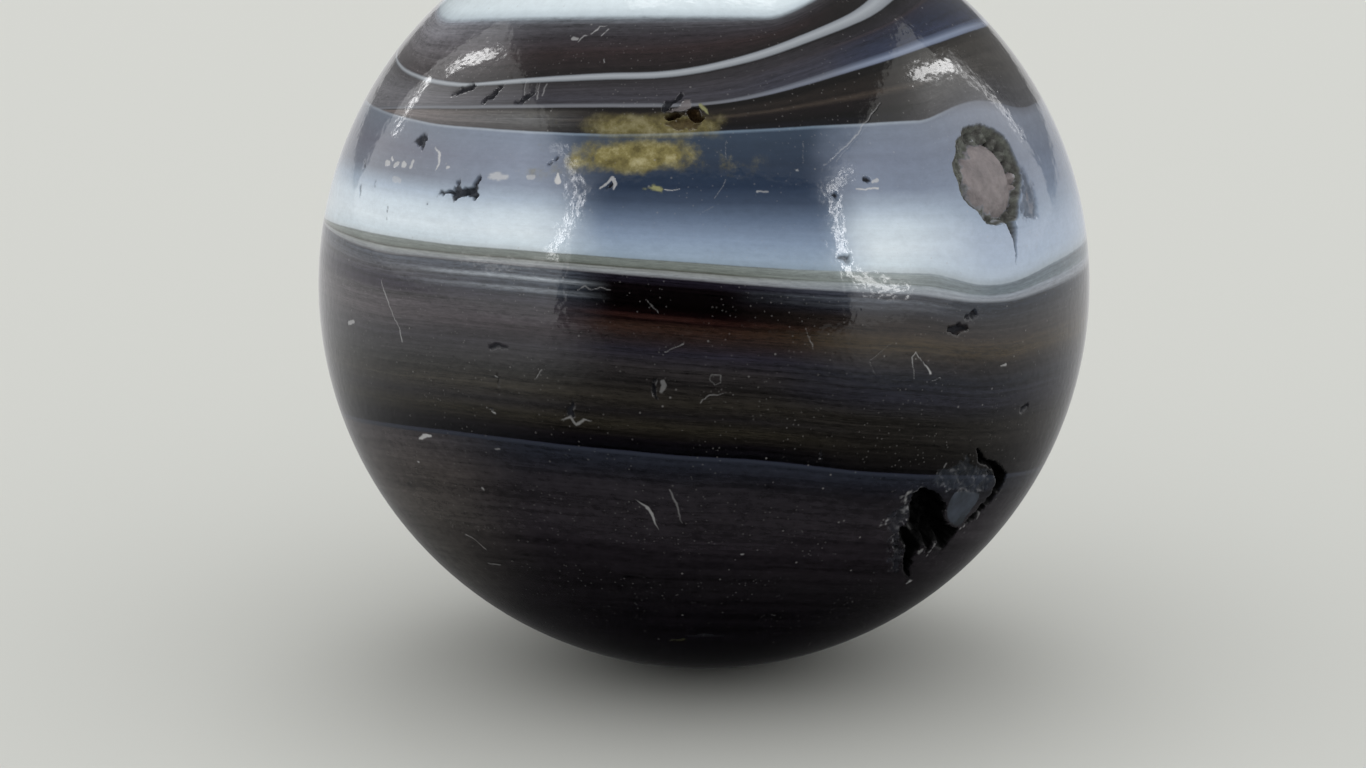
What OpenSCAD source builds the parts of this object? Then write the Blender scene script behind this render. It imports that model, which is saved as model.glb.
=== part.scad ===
// Polished marble of banded agate, ground round from one piece of stone, with its natural flaws.
// The ball's centre is the origin. Millimetres, +Z up, and -Y faces the viewer.
// A place on the ball is an azimuth, from -Y towards +X, and an elevation, from the equator up.

/* [Ball] */
// Diameter of the polished ball
ball_d = 25; // [16:0.5:40]

/* [Open pocket] */
// Azimuth of the pocket's middle
pocket_az = 53; // [-180:1:180]
// Elevation of the pocket's middle
pocket_el = 24.5; // [-60:0.5:60]
// Width of the pocket's mouth
pocket_w = 3.5; // [2.6:0.1:4.5]
// Height of the pocket's mouth
pocket_h = 3.4; // [2.6:0.1:4.5]
// Depth of the moat round the nodule
pocket_depth = 0.95; // [0.6:0.05:1.4]
// Width of the smooth nodule at the bottom of the moat
nodule_w = 2.5; // [1.4:0.1:2.6]
// How far the nodule's top stays below the polished surface
nodule_sink = 0.12; // [0.05:0.01:0.4]
// Length of the crack that runs down from the pocket
crack_length = 1.5; // [0.4:0.1:3]
// Width of that crack where it leaves the pocket
crack_w = 0.45; // [0.2:0.05:0.7]

/* [Chipped hollow] */
// Azimuth of the hollow's middle
chip_az = 39.5; // [-180:1:180]
// Elevation of the hollow's middle
chip_el = -27; // [-60:0.5:60]
// Width of the hollow
chip_w = 2.2; // [1.5:0.1:3]
// Height of the hollow
chip_h = 2.9; // [1.8:0.1:4]
// Depth of the hollow
chip_depth = 0.9; // [0.5:0.05:1.3]
// Radius of the curved crack beside the hollow
arc_r = 1.55; // [1.2:0.05:2]
// Width of the curved crack at its widest
arc_w = 0.5; // [0.2:0.05:0.6]

/* [Small marks] */
// Width of the round pit high on the front
pit_w = 1.5; // [0.8:0.1:2.5]
// Depth of that pit
pit_depth = 0.35; // [0.15:0.05:0.6]
// Radius of a crescent bruise
bruise_r = 0.3; // [0.2:0.05:0.5]
// Width of a crescent bruise's groove
bruise_w = 0.12; // [0.08:0.01:0.2]

/* [Hidden] */

ball_r = ball_d / 2;
ball_faces = 52;
trough_faces = 60;
flaw_faces = 14;

// The layers that the stone grew in, from the top down. Each row is a layer's underside, a trough
// that runs from front to back: the place across of its lowest line, the height of that line, the
// trough's radius, all in ball radii, and then the layer's colour.
layers = [
    [-0.25, 0.69, 3, "#dfe8ea"],
    [-0.33, 0.54, 1.45, "#2b2524"],
    [-0.33, 0.525, 1.6, "#aab0ba"],
    [-0.2, 0.468, 2, "#3c3b44"],
    [-0.2, 0.454, 2.1, "#80808e"],
    [-0.1, 0.4, 5, "#33261c"],
    [-0.1, 0.386, 5, "#98a2b4"],
    [0.3, 0.11, 6, "#6f7a8e"],
    [0.7, 0.01, 8.5, "#dbe5ee"],
    [0.7, -0.04, 8.5, "#7d8384"],
    [0.9, -0.48, 11, "#2c2423"],
    [0.9, -0.496, 11, "#424a5a"],
    [0, -2, 20, "#1d191a"]
];
stone_lean = -14;
layer_overlap = 0.02;

// The pocket's uneven outline, as shares of its half width and half height.
pocket_outline = [
    [-0.6, 0.75],
    [-0.2, 1.03],
    [0.52, 0.97],
    [0.88, 0.6],
    [1.05, -0.07],
    [0.7, -0.6],
    [0.45, -0.95],
    [-0.26, -0.9],
    [-0.6, -0.55],
    [-0.9, -0.2],
    [-0.84, 0.4]
];
pocket_floor_w = pocket_w * 1.3;
nodule_rise = pocket_depth - nodule_sink;
crack_depth = pocket_depth * 0.4;

// The hollow's jagged outline, as shares of its half width and half height.
chip_outline = [
    [-1, 0.95],
    [-0.5, 0.7],
    [0, 0.85],
    [0.3, 0.35],
    [0.9, -0.1],
    [1.5, -0.6],
    [0.95, -0.9],
    [0.5, -0.75],
    [0.2, -1.5],
    [-0.3, -0.9],
    [-0.95, -0.2],
    [-0.7, 0.4]
];
// The shell-shaped bites of its floor: across and up in the same shares, then width and depth, as
// shares of its own.
chip_floor = [
    [0, 0, 1.2, 1],
    [-0.3, 0.7, 0.9, 0.8],
    [0.9, -0.55, 0.9, 0.7],
    [0.1, -1, 0.7, 0.6]
];
// Thin flakes lost beside it: across, up, width and depth, in the same shares.
chip_flakes = [
    [-1.25, 0.2, 0.5, 0.16],
    [-1.05, -0.4, 0.4, 0.16],
    [-0.6, -1, 0.4, 0.14],
    [0.3, 1.35, 0.3, 0.12]
];

// The curved crack is a string of beads from below the hollow's middle to above it.
arc_x = chip_w * 0.62;
arc_y = chip_h * 0.3;
arc_from = -65;
arc_to = 92;
arc_beads = 12;

// Small pits: azimuth, elevation, width and depth.
small_pits = [
    [-43, 25, 0.85, 0.14],
    [-39.5, 27, 0.6, 0.12],
    [-46.5, 23.5, 0.45, 0.1],
    [-57, 29.5, 0.5, 0.1],
    [-26, 30.5, 0.3, 0.07],
    [-68, 19.5, 0.4, 0.1],
    [-15, 28, 0.35, 0.08],
    [21, 16.5, 0.3, 0.07],
    [55.5, -10.5, 0.5, 0.1],
    [-4.5, -50, 0.9, 0.18],
    [-19.5, -5, 0.35, 0.1]
];
pit_az = -3.5;
pit_el = 40;

// Crescent bruises: azimuth, elevation, and the direction that the open side faces.
bruises = [[-7, -1, -60], [1.5, 0.5, 20], [32.5, 0.5, -100], [-9, -20.5, 190]];
bruise_sweep = 200;

function turn_for(length) = length / ball_r * 180 / PI;

// Sets its children at a place on the ball, with +Z out of the stone and +Y up its side.
module on_ball(az, el) {
    rotate([0, 0, az])
        rotate([90 - el, 0, 0])
            translate([0, 0, ball_r])
                children();
}

// Moves its children along the curved surface from such a place.
module along(x, y) {
    translate([0, 0, -ball_r])
        rotate([-turn_for(y), turn_for(x), 0])
            translate([0, 0, ball_r])
                children();
}

// A shell-shaped bite, so wide at the surface and so deep.
module bite(w, depth) {
    r = (w * w / 4 + depth * depth) / (2 * depth);
    translate([0, 0, r - depth])
        sphere(r = r, $fn = flaw_faces);
}

// A crack that runs down from its children's origin, and narrows to a point.
module crack(length, w, depth) {
    translate([0, 0, -depth])
        linear_extrude(depth + w)
            polygon([[-w / 2, 0], [w / 2, 0], [0, -length]]);
}

// All that lies above one layer's underside, or above a level that is raised from it.
module above(layer, rise = 0) {
    trough_r = layer[2] * ball_r;
    rotate([stone_lean, 0, 0])
        translate([layer[0] * ball_r, 0, layer[1] * ball_r + trough_r + rise])
            rotate([90, 0, 0])
                cylinder(r = trough_r, h = ball_d * 1.1, center = true, $fn = trough_faces);
}

// The whole ball in its coloured layers, which run into each other and are one stone.
module banded_ball() {
    last = len(layers) - 1;
    for (i = [0:last])
        color(layers[i][3])
            difference() {
                intersection() {
                    sphere(r = ball_r, $fn = ball_faces);
                    if (i < last)
                        above(layers[i]);
                }
                if (i > 0)
                    above(layers[i - 1], layer_overlap);
            }
}

// A pocket that the stone never filled: an uneven moat round a smooth nodule, and a crack.
module open_pocket() {
    on_ball(pocket_az, pocket_el) {
        difference() {
            intersection() {
                translate([0, 0, -2 * pocket_depth])
                    linear_extrude(3 * pocket_depth)
                        scale([pocket_w / 2, pocket_h / 2])
                            polygon(pocket_outline);
                bite(pocket_floor_w, pocket_depth);
            }
            translate([-nodule_w * 0.05, 0, -pocket_depth])
                mirror([0, 0, 1])
                    bite(nodule_w, nodule_rise);
        }
        along(pocket_w * 0.1, -pocket_h * 0.43)
            crack(crack_length, crack_w, crack_depth);
    }
}

// Where a blow has broken flakes out of the ball, with the curved crack that it left beside them.
module chipped_hollow() {
    on_ball(chip_az, chip_el) {
        intersection() {
            translate([0, 0, -2 * chip_depth])
                linear_extrude(3 * chip_depth)
                    scale([chip_w / 2, chip_h / 2])
                        polygon(chip_outline);
            union()
                for (b = chip_floor)
                    along(b[0] * chip_w / 2, b[1] * chip_h / 2)
                        bite(b[2] * chip_w, b[3] * chip_depth);
        }
        for (i = [0:arc_beads - 1]) {
            turn = arc_from + (arc_to - arc_from) * i / (arc_beads - 1);
            along(arc_x + arc_r * cos(turn), arc_y + arc_r * sin(turn))
                sphere(d = arc_w * (0.6 + 0.4 * cos(turn)), $fn = flaw_faces);
        }
    }
}

// The thin flakes lost beside that hollow.
module lost_flakes() {
    on_ball(chip_az, chip_el)
        for (f = chip_flakes)
            along(f[0] * chip_w / 2, f[1] * chip_h / 2)
                bite(f[2] * chip_w, f[3] * chip_depth);
}

// Two bites that run together.
module round_pit() {
    on_ball(pit_az, pit_el) {
        along(-pit_w * 0.15, 0)
            bite(pit_w * 0.7, pit_depth);
        along(pit_w * 0.25, 0)
            bite(pit_w * 0.5, pit_depth * 0.8);
    }
}

module bruise(facing) {
    rotate([0, 0, facing + 180 - bruise_sweep / 2])
        rotate_extrude(angle = bruise_sweep, $fn = flaw_faces)
            translate([bruise_r, 0])
                circle(d = bruise_w, $fn = flaw_faces);
}

module marble() {
    difference() {
        banded_ball();
        color("#5d5850")
            open_pocket();
        color("#0c0b0b")
            chipped_hollow();
        color("#4a4e54")
            lost_flakes();
        color("#3a2f22")
            round_pit();
        color("#55565c") {
            for (p = small_pits)
                on_ball(p[0], p[1])
                    bite(p[2], p[3]);
            for (b = bruises)
                on_ball(b[0], b[1])
                    bruise(b[2]);
        }
    }
}

marble();
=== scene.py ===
"""A polished ball of banded agate, with its layers, its open pocket, its chipped hollow and its marks.

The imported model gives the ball's place and size. Metres, +Z up, and -Y faces the viewer. A place on the
ball is an azimuth, from -Y towards +X, and an elevation, in degrees. Flaws are drawn from there, in
millimetres across and up.
"""

import logging
import math
from abc import ABC, abstractmethod
from dataclasses import dataclass, field, replace
from enum import Enum
from typing import Any, ClassVar

import bmesh
import bpy
import numpy as np
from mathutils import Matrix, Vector

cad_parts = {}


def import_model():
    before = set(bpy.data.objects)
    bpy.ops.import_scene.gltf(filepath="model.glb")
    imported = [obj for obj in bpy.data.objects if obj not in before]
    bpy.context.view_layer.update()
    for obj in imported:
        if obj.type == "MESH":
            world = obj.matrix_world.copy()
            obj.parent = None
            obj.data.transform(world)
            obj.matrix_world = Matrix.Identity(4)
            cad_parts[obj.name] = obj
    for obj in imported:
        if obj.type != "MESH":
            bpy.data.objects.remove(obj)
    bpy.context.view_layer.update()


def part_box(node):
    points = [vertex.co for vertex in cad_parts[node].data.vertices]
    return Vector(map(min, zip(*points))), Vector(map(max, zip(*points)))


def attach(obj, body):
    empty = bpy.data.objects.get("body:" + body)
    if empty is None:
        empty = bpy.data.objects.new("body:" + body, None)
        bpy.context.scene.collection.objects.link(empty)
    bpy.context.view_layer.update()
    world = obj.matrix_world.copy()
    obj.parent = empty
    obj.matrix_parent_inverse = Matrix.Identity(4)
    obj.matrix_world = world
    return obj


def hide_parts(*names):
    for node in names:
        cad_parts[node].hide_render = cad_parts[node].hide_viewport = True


log = logging.getLogger("marble")

MM = 0.001
MICROMETRE = 1e-6
Points = np.ndarray
Shade = tuple[float, str]


def linear(code: str) -> tuple[float, float, float, float]:
    """Turns a colour code into the scene's linear colour.

    Args:
        code: Six hexadecimal digits, as red, green and blue.

    Returns:
        Red, green, blue and an alpha of 1.
    """
    parts = [int(code[i : i + 2], 16) / 255 for i in (0, 2, 4)]
    return (*(c / 12.92 if c <= 0.04045 else ((c + 0.055) / 1.055) ** 2.4 for c in parts), 1.0)


def smooth(low: float, high: float, value: np.ndarray) -> np.ndarray:
    """Rises from 0 at low to 1 at high, with a soft start and a soft end."""
    t = np.clip((value - low) / (high - low), 0.0, 1.0)
    return t * t * (3.0 - 2.0 * t)


# --------------------------------------------------------------------------------------------------
# Node trees
# --------------------------------------------------------------------------------------------------


class Num:
    """One number that varies over a surface, with the sums that the trees use."""

    def __init__(self, tree: "Tree", socket: bpy.types.NodeSocket) -> None:
        """Wraps an output socket of a tree."""
        self.tree = tree
        self.socket = socket

    def _math(self, operation: str, *terms: "Num | float") -> "Num":
        """Adds a Math node on these terms."""
        return self.tree.number("ShaderNodeMath", {"operation": operation}, dict(enumerate(terms)))

    def __add__(self, other: "Num | float") -> "Num":
        """Adds."""
        return self._math("ADD", self, other)

    __radd__ = __add__

    def __sub__(self, other: "Num | float") -> "Num":
        """Subtracts."""
        return self._math("SUBTRACT", self, other)

    def __rsub__(self, other: float) -> "Num":
        """Subtracts this from a number."""
        return self._math("SUBTRACT", other, self)

    def __mul__(self, other: "Num | float") -> "Num":
        """Multiplies."""
        return self._math("MULTIPLY", self, other)

    def __truediv__(self, other: "Num | float") -> "Num":
        """Divides."""
        return self._math("DIVIDE", self, other)

    def at_least(self, low: "Num | float") -> "Num":
        """Returns the greater of the two."""
        return self._math("MAXIMUM", self, low)

    def at_most(self, high: "Num | float") -> "Num":
        """Returns the lesser of the two."""
        return self._math("MINIMUM", self, high)

    def size(self) -> "Num":
        """Returns its size without its sign."""
        return self._math("ABSOLUTE", self)

    def root(self) -> "Num":
        """Returns the square root."""
        return self._math("SQRT", self)

    def between(self, low: float, high: float) -> "Num":
        """Rises softly from 0 to 1.

        Args:
            low: Where it starts to rise.
            high: Where it gets to 1. It falls where this is the lower.

        Returns:
            The share of the rise.
        """
        return self.tree.number(
            "ShaderNodeMapRange",
            {"interpolation_type": "SMOOTHSTEP"},
            {"Value": self, "From Min": low, "From Max": high},
        )

    def bell(self, middle: float, reach: float) -> "Num":
        """Rises softly to 1 at middle, and is 0 past its reach on either side."""
        off = (self - middle) * (1.0 / reach)
        return (1.0 - off * off).at_least(0.0)


class Tree:
    """A node tree under construction, for a material or for a mesh."""

    def __init__(self, nodes: bpy.types.NodeTree) -> None:
        """Starts with an empty tree."""
        self.nodes = nodes
        nodes.nodes.clear()

    def node(
        self,
        kind: str,
        settings: dict[str, Any] | None = None,
        inputs: dict[str | int, Any] | None = None,
    ) -> bpy.types.Node:
        """Adds a node.

        Args:
            kind: The node's type.
            settings: What is set on the node itself, first. Stops are a ramp's places and colours.
            inputs: Values, sockets or numbers for its input sockets, by name or index.

        Returns:
            The new node.
        """
        made = self.nodes.nodes.new(kind)
        for name, value in (settings or {}).items():
            if name == "stops":
                self._set_stops(made.color_ramp, value)
            else:
                setattr(made, name, value)
        for name, value in (inputs or {}).items():
            self.join(value, made.inputs[name])
        return made

    def join(self, value: Any, socket: bpy.types.NodeSocket) -> None:
        """Gives an input its value.

        Args:
            value: A socket or a number to link, or a plain value.
            socket: The input.
        """
        source = value.socket if isinstance(value, Num) else value
        if isinstance(source, bpy.types.NodeSocket):
            self.nodes.links.new(source, socket)
        else:
            socket.default_value = source

    @staticmethod
    def _set_stops(ramp: bpy.types.ColorRamp, stops: tuple[Shade, ...]) -> None:
        """Gives a ramp its stops.

        Args:
            ramp: The ramp.
            stops: Their places and colours, in order.
        """
        while len(ramp.elements) > 1:
            ramp.elements.remove(ramp.elements[-1])
        for i, (place, code) in enumerate(stops):
            stop = ramp.elements[0] if i == 0 else ramp.elements.new(place)
            stop.position = place
            stop.color = linear(code)

    def number(
        self,
        kind: str,
        settings: dict[str, Any] | None = None,
        inputs: dict[str | int, Any] | None = None,
        output: str | int = 0,
    ) -> Num:
        """Adds a node, as node() does, and returns one of its outputs as a number."""
        return Num(self, self.node(kind, settings, inputs).outputs[output])

    def ramp(self, place: Num, stops: tuple[Shade, ...], label: str = "") -> bpy.types.NodeSocket:
        """Returns the colour that these stops have at a place."""
        settings = {"stops": stops, "label": label}
        return self.node("ShaderNodeValToRGB", settings, {"Fac": place}).outputs["Color"]

    def mix(self, share: Any, first: Any, second: Any, blend: str = "MIX") -> bpy.types.NodeSocket:
        """Mixes two colours by a share of the second."""
        settings = {"data_type": "RGBA", "blend_type": blend}
        return self.node("ShaderNodeMix", settings, {0: share, 6: first, 7: second}).outputs[2]

    def vector(self, x: Any, y: Any, z: Any) -> bpy.types.NodeSocket:
        """Returns a vector from three numbers."""
        return self.node("ShaderNodeCombineXYZ", None, {"X": x, "Y": y, "Z": z}).outputs[0]

    def scaled(self, vector: Any, length: Any) -> bpy.types.NodeSocket:
        """Returns a vector times a length."""
        inputs = {"Vector": vector, "Scale": length}
        return self.node("ShaderNodeVectorMath", {"operation": "SCALE"}, inputs).outputs[0]

    def noise(self, where: Any, scale: float, detail: float, roughness: float) -> Num:
        """Returns smooth noise, about 0.5, at a place."""
        inputs = {"Vector": where, "Scale": scale, "Detail": detail, "Roughness": roughness}
        return self.number("ShaderNodeTexNoise", None, inputs)

    def dots(self, where: Any, scale: float) -> Num:
        """Returns the distance from a place to the nearest of many scattered dots."""
        return self.number("ShaderNodeTexVoronoi", {"feature": "F1"}, {"Vector": where, "Scale": scale})


class Finish(ABC):
    """What a surface is dressed with.

    Attributes:
        name: The material's name.
    """

    name: str

    @abstractmethod
    def shader(self, tree: Tree) -> bpy.types.Node:
        """Builds the shader.

        Args:
            tree: The material's empty tree.

        Returns:
            The shader's last node.
        """

    def make(self) -> bpy.types.Material:
        """Builds the material.

        Returns:
            The material.
        """
        material = bpy.data.materials.new(self.name)
        material.use_nodes = True
        tree = Tree(material.node_tree)
        tree.node("ShaderNodeOutputMaterial", None, {"Surface": self.shader(tree).outputs[0]})
        return material


# --------------------------------------------------------------------------------------------------
# The stone's layers
# --------------------------------------------------------------------------------------------------


@dataclass(frozen=True)
class Slope:
    """One side of a trough: level at first, and then a straight climb.

    Attributes:
        rise: Height gained per unit of distance once it climbs.
        turn: How far it takes to turn from level to the climb, in ball radii.
    """

    rise: float
    turn: float

    def climb(self, distance: Num) -> Num:
        """Returns the height gained at a distance from the trough's lowest line."""
        out = distance.at_least(0.0)
        return ((out * out + self.turn**2).root() - self.turn) * self.rise


@dataclass(frozen=True)
class Swell:
    """A low rise, or a dip where its height is negative, that runs from front to back.

    Attributes:
        middle: Where it lies, from left to right, in ball radii.
        reach: How far it reaches on either side.
        height: How high it rises.
    """

    middle: float
    reach: float
    height: float

    def rise(self, across: Num) -> Num:
        """Returns the height gained at a place."""
        share = across.bell(self.middle, self.reach)
        return share * share * self.height


@dataclass(frozen=True)
class Underside:
    """The lower face of a layer, a trough in the stone. All measures are in ball radii.

    Attributes:
        level: Height of its lowest line.
        across: Where that line lies, from left to right.
        left: Its climb to the left.
        right: Its climb to the right.
        front: Where it starts to climb towards the back.
        back: Its climb towards the back.
        swell: A low rise or dip in it.
    """

    level: float
    across: float
    left: Slope
    right: Slope
    front: float
    back: Slope
    swell: Swell | None = None

    def height(self, across: Num, front: Num) -> Num:
        """Finds its height above or below a place in the stone.

        Args:
            across: How far right of the ball's middle the place lies.
            front: How far to the front it lies.

        Returns:
            The height.
        """
        left = self.left.climb(self.across - across)
        right = self.right.climb(across - self.across)
        rise = left + right + self.back.climb(self.front - front) + self.level
        return rise + self.swell.rise(across) if self.swell else rise


class Where(Enum):
    """A part of the stone where a layer takes other colours. Round the middle of the front, the darker
    colours are partly painted shade.
    """

    FAR_LEFT = "far to the left"
    # Round the middle of the front: darker colours here are partly painted shade.
    SHADED_CENTRE = "round the middle of the front"
    # Darker milk: painted shade round the middle of the front, and random darker patches elsewhere.
    THIN = "where the milk is thin"
    RIGHT = "towards the right"
    FAR_RIGHT = "far to the right"


@dataclass(frozen=True)
class Layer:
    """One layer of the stone.

    Attributes:
        name: What its ramps are labelled with.
        underside: Its lower face.
        colours: Its colours, from its top at 0 to its underside at 1.
        elsewhere: Other colours that it has in parts of the stone.
        lines: How strongly fine lines mark it.
        line_count: How many such lines lie in it, one over another.
        edge: How softly it meets the layer above it.
    """

    name: str
    underside: Underside
    colours: tuple[Shade, ...]
    elsewhere: tuple[tuple[Where, tuple[Shade, ...]], ...] = ()
    lines: float = 0.12
    line_count: float = 12.0
    edge: float = 0.006


# The stone's highest point, and the thinnest that a layer may get, in ball radii.
STONE_TOP = 1.02
THINNEST_LAYER = 0.002

# The layers' undersides, from the top down.
CAP_FLOOR = Underside(0.667, 0.15, Slope(0.007, 0.292), Slope(0.772, 0.09), 0.387, Slope(0.294, 0.1))
WHITE_LINE_TOP = Underside(
    0.526, -0.186, Slope(-0.133, 0.447), Slope(0.813, 0.708), 0.67, Slope(0.253, 0.1)
)
WHITE_LINE_FLOOR = Underside(
    0.51, -0.193, Slope(-0.064, 0.35), Slope(0.725, 0.717), 0.637, Slope(0.251, 0.1)
)
LILAC_LINE_TOP = Underside(0.45, -0.063, Slope(0.004, 0.21), Slope(0.43, 0.265), 0.2, Slope(0.15, 0.1))
LILAC_LINE_FLOOR = Underside(
    0.4385, -0.098, Slope(0.009, 0.214), Slope(0.423, 0.388), 0.2, Slope(0.15, 0.1)
)
BROWN_FLOOR = Underside(
    0.3728, -0.183, Slope(0.157, 0.51), Slope(0.0617, 0.117), 0.64, Slope(0.11, 0.1),
    Swell(0.678, 0.147, 0.041),
)
MILK_FLOOR = Underside(
    0.0246, 0.787, Slope(0.09, 0.8), Slope(0.643, 0.218), 0.8, Slope(0.072, 0.1),
    Swell(0.724, 0.17, -0.029),
)
BORDER_FLOOR = Underside(
    -0.0306, 0.742, Slope(0.09, 0.437), Slope(0.098, 0.119), 0.634, Slope(0.156, 0.1),
    Swell(0.697, 0.189, -0.017),
)
BLUE_LINE_TOP = Underside(
    -0.4827, 0.711, Slope(0.1, 0.215), Slope(0.1, 0.1), 0.326, Slope(0.059, 0.1),
    Swell(0.16, 0.26, 0.007),
)
BLUE_LINE_FLOOR = replace(BLUE_LINE_TOP, level=-0.4935)
FOOT_FLOOR = Underside(-1.02, 0.0, Slope(0.0, 0.1), Slope(0.0, 0.1), 0.0, Slope(0.0, 0.1))

# The layers' colours, from the top down, and each layer's own from left to right.
CAP_COLOURS = ((0.0, "eef3f5"), (0.7, "e6eff2"), (0.93, "dae6ec"), (1.0, "b8c4cc"))
SMOKY_FAR_LEFT = ((0.0, "989da8"), (0.12, "919198"), (0.4, "828086"), (0.8, "5d595b"), (1.0, "464143"))
SMOKY_LEFT = (
    (0.0, "6a7077"), (0.12, "45454a"), (0.35, "322e33"), (0.6, "2a2021"), (0.9, "1f1a1b"),
    (1.0, "181516"),
)
SMOKY_RIGHT = ((0.0, "4c5054"), (0.1, "2b2929"), (0.3, "191616"), (0.8, "100d0d"), (1.0, "0c0a0a"))
WHITE_COLOURS = ((0.0, "83888f"), (0.4, "a3a8ae"), (1.0, "7c8187"))
SLATE_FAR_LEFT = ((0.0, "4a484a"), (0.3, "67666a"), (1.0, "6c6b70"))
SLATE_LEFT = ((0.0, "1d1a1c"), (0.12, "2d2b2e"), (0.4, "37353a"), (0.8, "3b3a41"), (1.0, "38373d"))
SLATE_RIGHT = (
    (0.0, "0f0e11"), (0.14, "1a181b"), (0.34, "252329"), (0.39, "322c32"), (0.44, "242431"),
    (0.7, "262c3e"), (0.9, "282e41"), (1.0, "2c3347"),
)
LILAC_LEFT = ((0.0, "54565c"), (0.45, "72747b"), (0.8, "66686e"), (1.0, "2c2b2d"))
LILAC_RIGHT = ((0.0, "353c50"), (0.25, "505a70"), (0.6, "828da3"), (0.85, "727c92"), (1.0, "2c303a"))
BROWN_FAR_LEFT = ((0.0, "5c5553"), (0.2, "736a68"), (0.6, "6c6362"), (1.0, "4a4546"))
BROWN_LEFT = ((0.0, "211e1c"), (0.15, "484644"), (0.45, "5b5b5c"), (0.75, "4c4b4b"), (1.0, "262323"))
# The brown layer round the middle of the front: darker, partly as painted shade.
BROWN_SHADED_CENTRE = (
    (0.0, "0a0908"), (0.1, "0f0c0b"), (0.24, "211c19"), (0.4, "1b1614"), (0.48, "38302a"),
    (0.57, "150f10"), (0.8, "080607"), (1.0, "0e0f17"),
)
BROWN_FAR_RIGHT = ((0.0, "1d1a17"), (0.2, "35322e"), (0.6, "3f3d3b"), (1.0, "46474c"))
MILK_THICK = (
    (0.0, "aab4c1"), (0.025, "7c8799"), (0.25, "828b9e"), (0.45, "8a95a8"), (0.58, "a9b7c8"),
    (0.7, "d0dde8"), (0.85, "dde8f0"), (0.95, "d3e0e9"), (1.0, "bcc6cc"),
)
MILK_FAR_LEFT = ((0.0, "9aa1ab"), (0.025, "6f7784"), (0.25, "6c6e7b"), (0.45, "787e8b")) + MILK_THICK[4:]
MILK_RIGHT = ((0.0, "98a2af"), (0.025, "6d7788"), (0.25, "6c768a"), (0.45, "778398")) + MILK_THICK[4:]
# The milk round the middle of the front, darker as painted shade, and in random darker patches.
MILK_THIN_AND_SHADED = (
    (0.0, "75889b"), (0.025, "344152"), (0.25, "2b3749"), (0.42, "2f3b4f"), (0.54, "434f63"),
    (0.66, "64738a"), (0.82, "8b9cb4"), (0.95, "9aabbf"), (1.0, "92a2b2"),
)
MILK_FAR_RIGHT = (
    (0.0, "666a74"), (0.05, "777e8c"), (0.3, "6e788b"), (0.5, "7c899e"), (0.62, "8c9bb0"),
    (0.75, "a2b0c5"), (0.88, "acbbd0"), (0.96, "acb9c9"), (1.0, "a0abb5"),
)
BORDER_LEFT = (
    (0.0, "757c7b"), (0.1, "7b827f"), (0.42, "747a75"), (0.52, "565852"), (0.6, "8b8f8e"),
    (0.82, "92969a"), (0.94, "64656a"), (1.0, "2b292f"),
)
BORDER_RIGHT = (
    (0.0, "9ba5ab"), (0.1, "959e9f"), (0.38, "8c9494"), (0.5, "828a89"), (0.6, "9ba3a8"),
    (0.82, "949ba2"), (0.94, "7c8189"), (1.0, "474b55"),
)
BORDER_FAR_RIGHT = (
    (0.0, "838f9a"), (0.12, "66717a"), (0.42, "66727a"), (0.52, "6f7a82"), (0.6, "8b939e"),
    (0.82, "8a8f98"), (0.94, "5a5f66"), (1.0, "373c46"),
)
# The pale lines at 0.062 and 0.128 are lines in the stone, painted brighter as a painted highlight.
BODY_LEFT = (
    (0.0, "58606a"), (0.02, "444a54"), (0.045, "545a63"), (0.062, "9aa1a9"), (0.08, "4c525b"),
    (0.105, "363c46"), (0.128, "7a8088"), (0.148, "3a3e47"), (0.175, "34343c"), (0.24, "38353a"),
    (0.35, "352f33"), (0.45, "2d2b30"), (0.6, "262524"), (0.7, "302d28"), (0.78, "232122"),
    (0.85, "28251f"), (0.93, "131113"), (1.0, "0a0a0f"),
)
BODY_FAR_LEFT = (
    (0.0, "4b515c"), (0.03, "444852"), (0.055, "50525a"), (0.075, "404046"), (0.11, "413f48"),
    (0.13, "292632"), (0.19, "2d2832"), (0.22, "423f42"), (0.25, "4d484c"), (0.33, "443f42"),
    (0.45, "2d2b30"),
) + BODY_LEFT[12:]
# The dark body round the middle of the front: darker, partly as painted shade.
BODY_SHADED_CENTRE = (
    (0.0, "1b1822"), (0.03, "17141c"), (0.045, "0a0608"), (0.16, "040202"), (0.2, "0d0405"),
    (0.225, "2b1815"), (0.24, "160a0a"), (0.28, "30211b"), (0.34, "261c1b"), (0.42, "22202a"),
    (0.52, "2a2728"), (0.6, "1e1c1c"), (0.7, "2a2723"), (0.78, "1c1a1b"), (0.85, "27241e"),
    (0.93, "0d0b0e"), (1.0, "07070b"),
)
BODY_RIGHT = (
    (0.0, "41454f"), (0.02, "33363f"), (0.04, "555a63"), (0.058, "353841"), (0.075, "4a4d55"),
    (0.095, "24252c"), (0.14, "241f1e"), (0.2, "2b2420"), (0.28, "382e1e"), (0.36, "231e1d"),
    (0.46, "1f2129"), (0.58, "23232b"), (0.7, "23211f"), (0.85, "1e1c1a"), (1.0, "0c0b0d"),
)
BODY_FAR_RIGHT = ((0.0, "373c46"), (0.015, "222a36"), (0.06, "24272f"), (0.1, "28282c")) + BODY_RIGHT[7:]
BLUE_COLOURS = ((0.0, "2b2e3b"), (0.5, "30343f"), (1.0, "282b35"))
FOOT_FAR_LEFT = ((0.0, "3d393b"), (0.15, "443f3d"), (0.5, "47443f"), (1.0, "4c4c47"))
FOOT_RIGHT = (
    (0.0, "23262f"), (0.05, "1e1f26"), (0.12, "232125"), (0.25, "29262a"), (0.4, "201d21"),
    (0.55, "19171a"), (0.75, "0f0d11"), (1.0, "0e0d10"),
)

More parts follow.
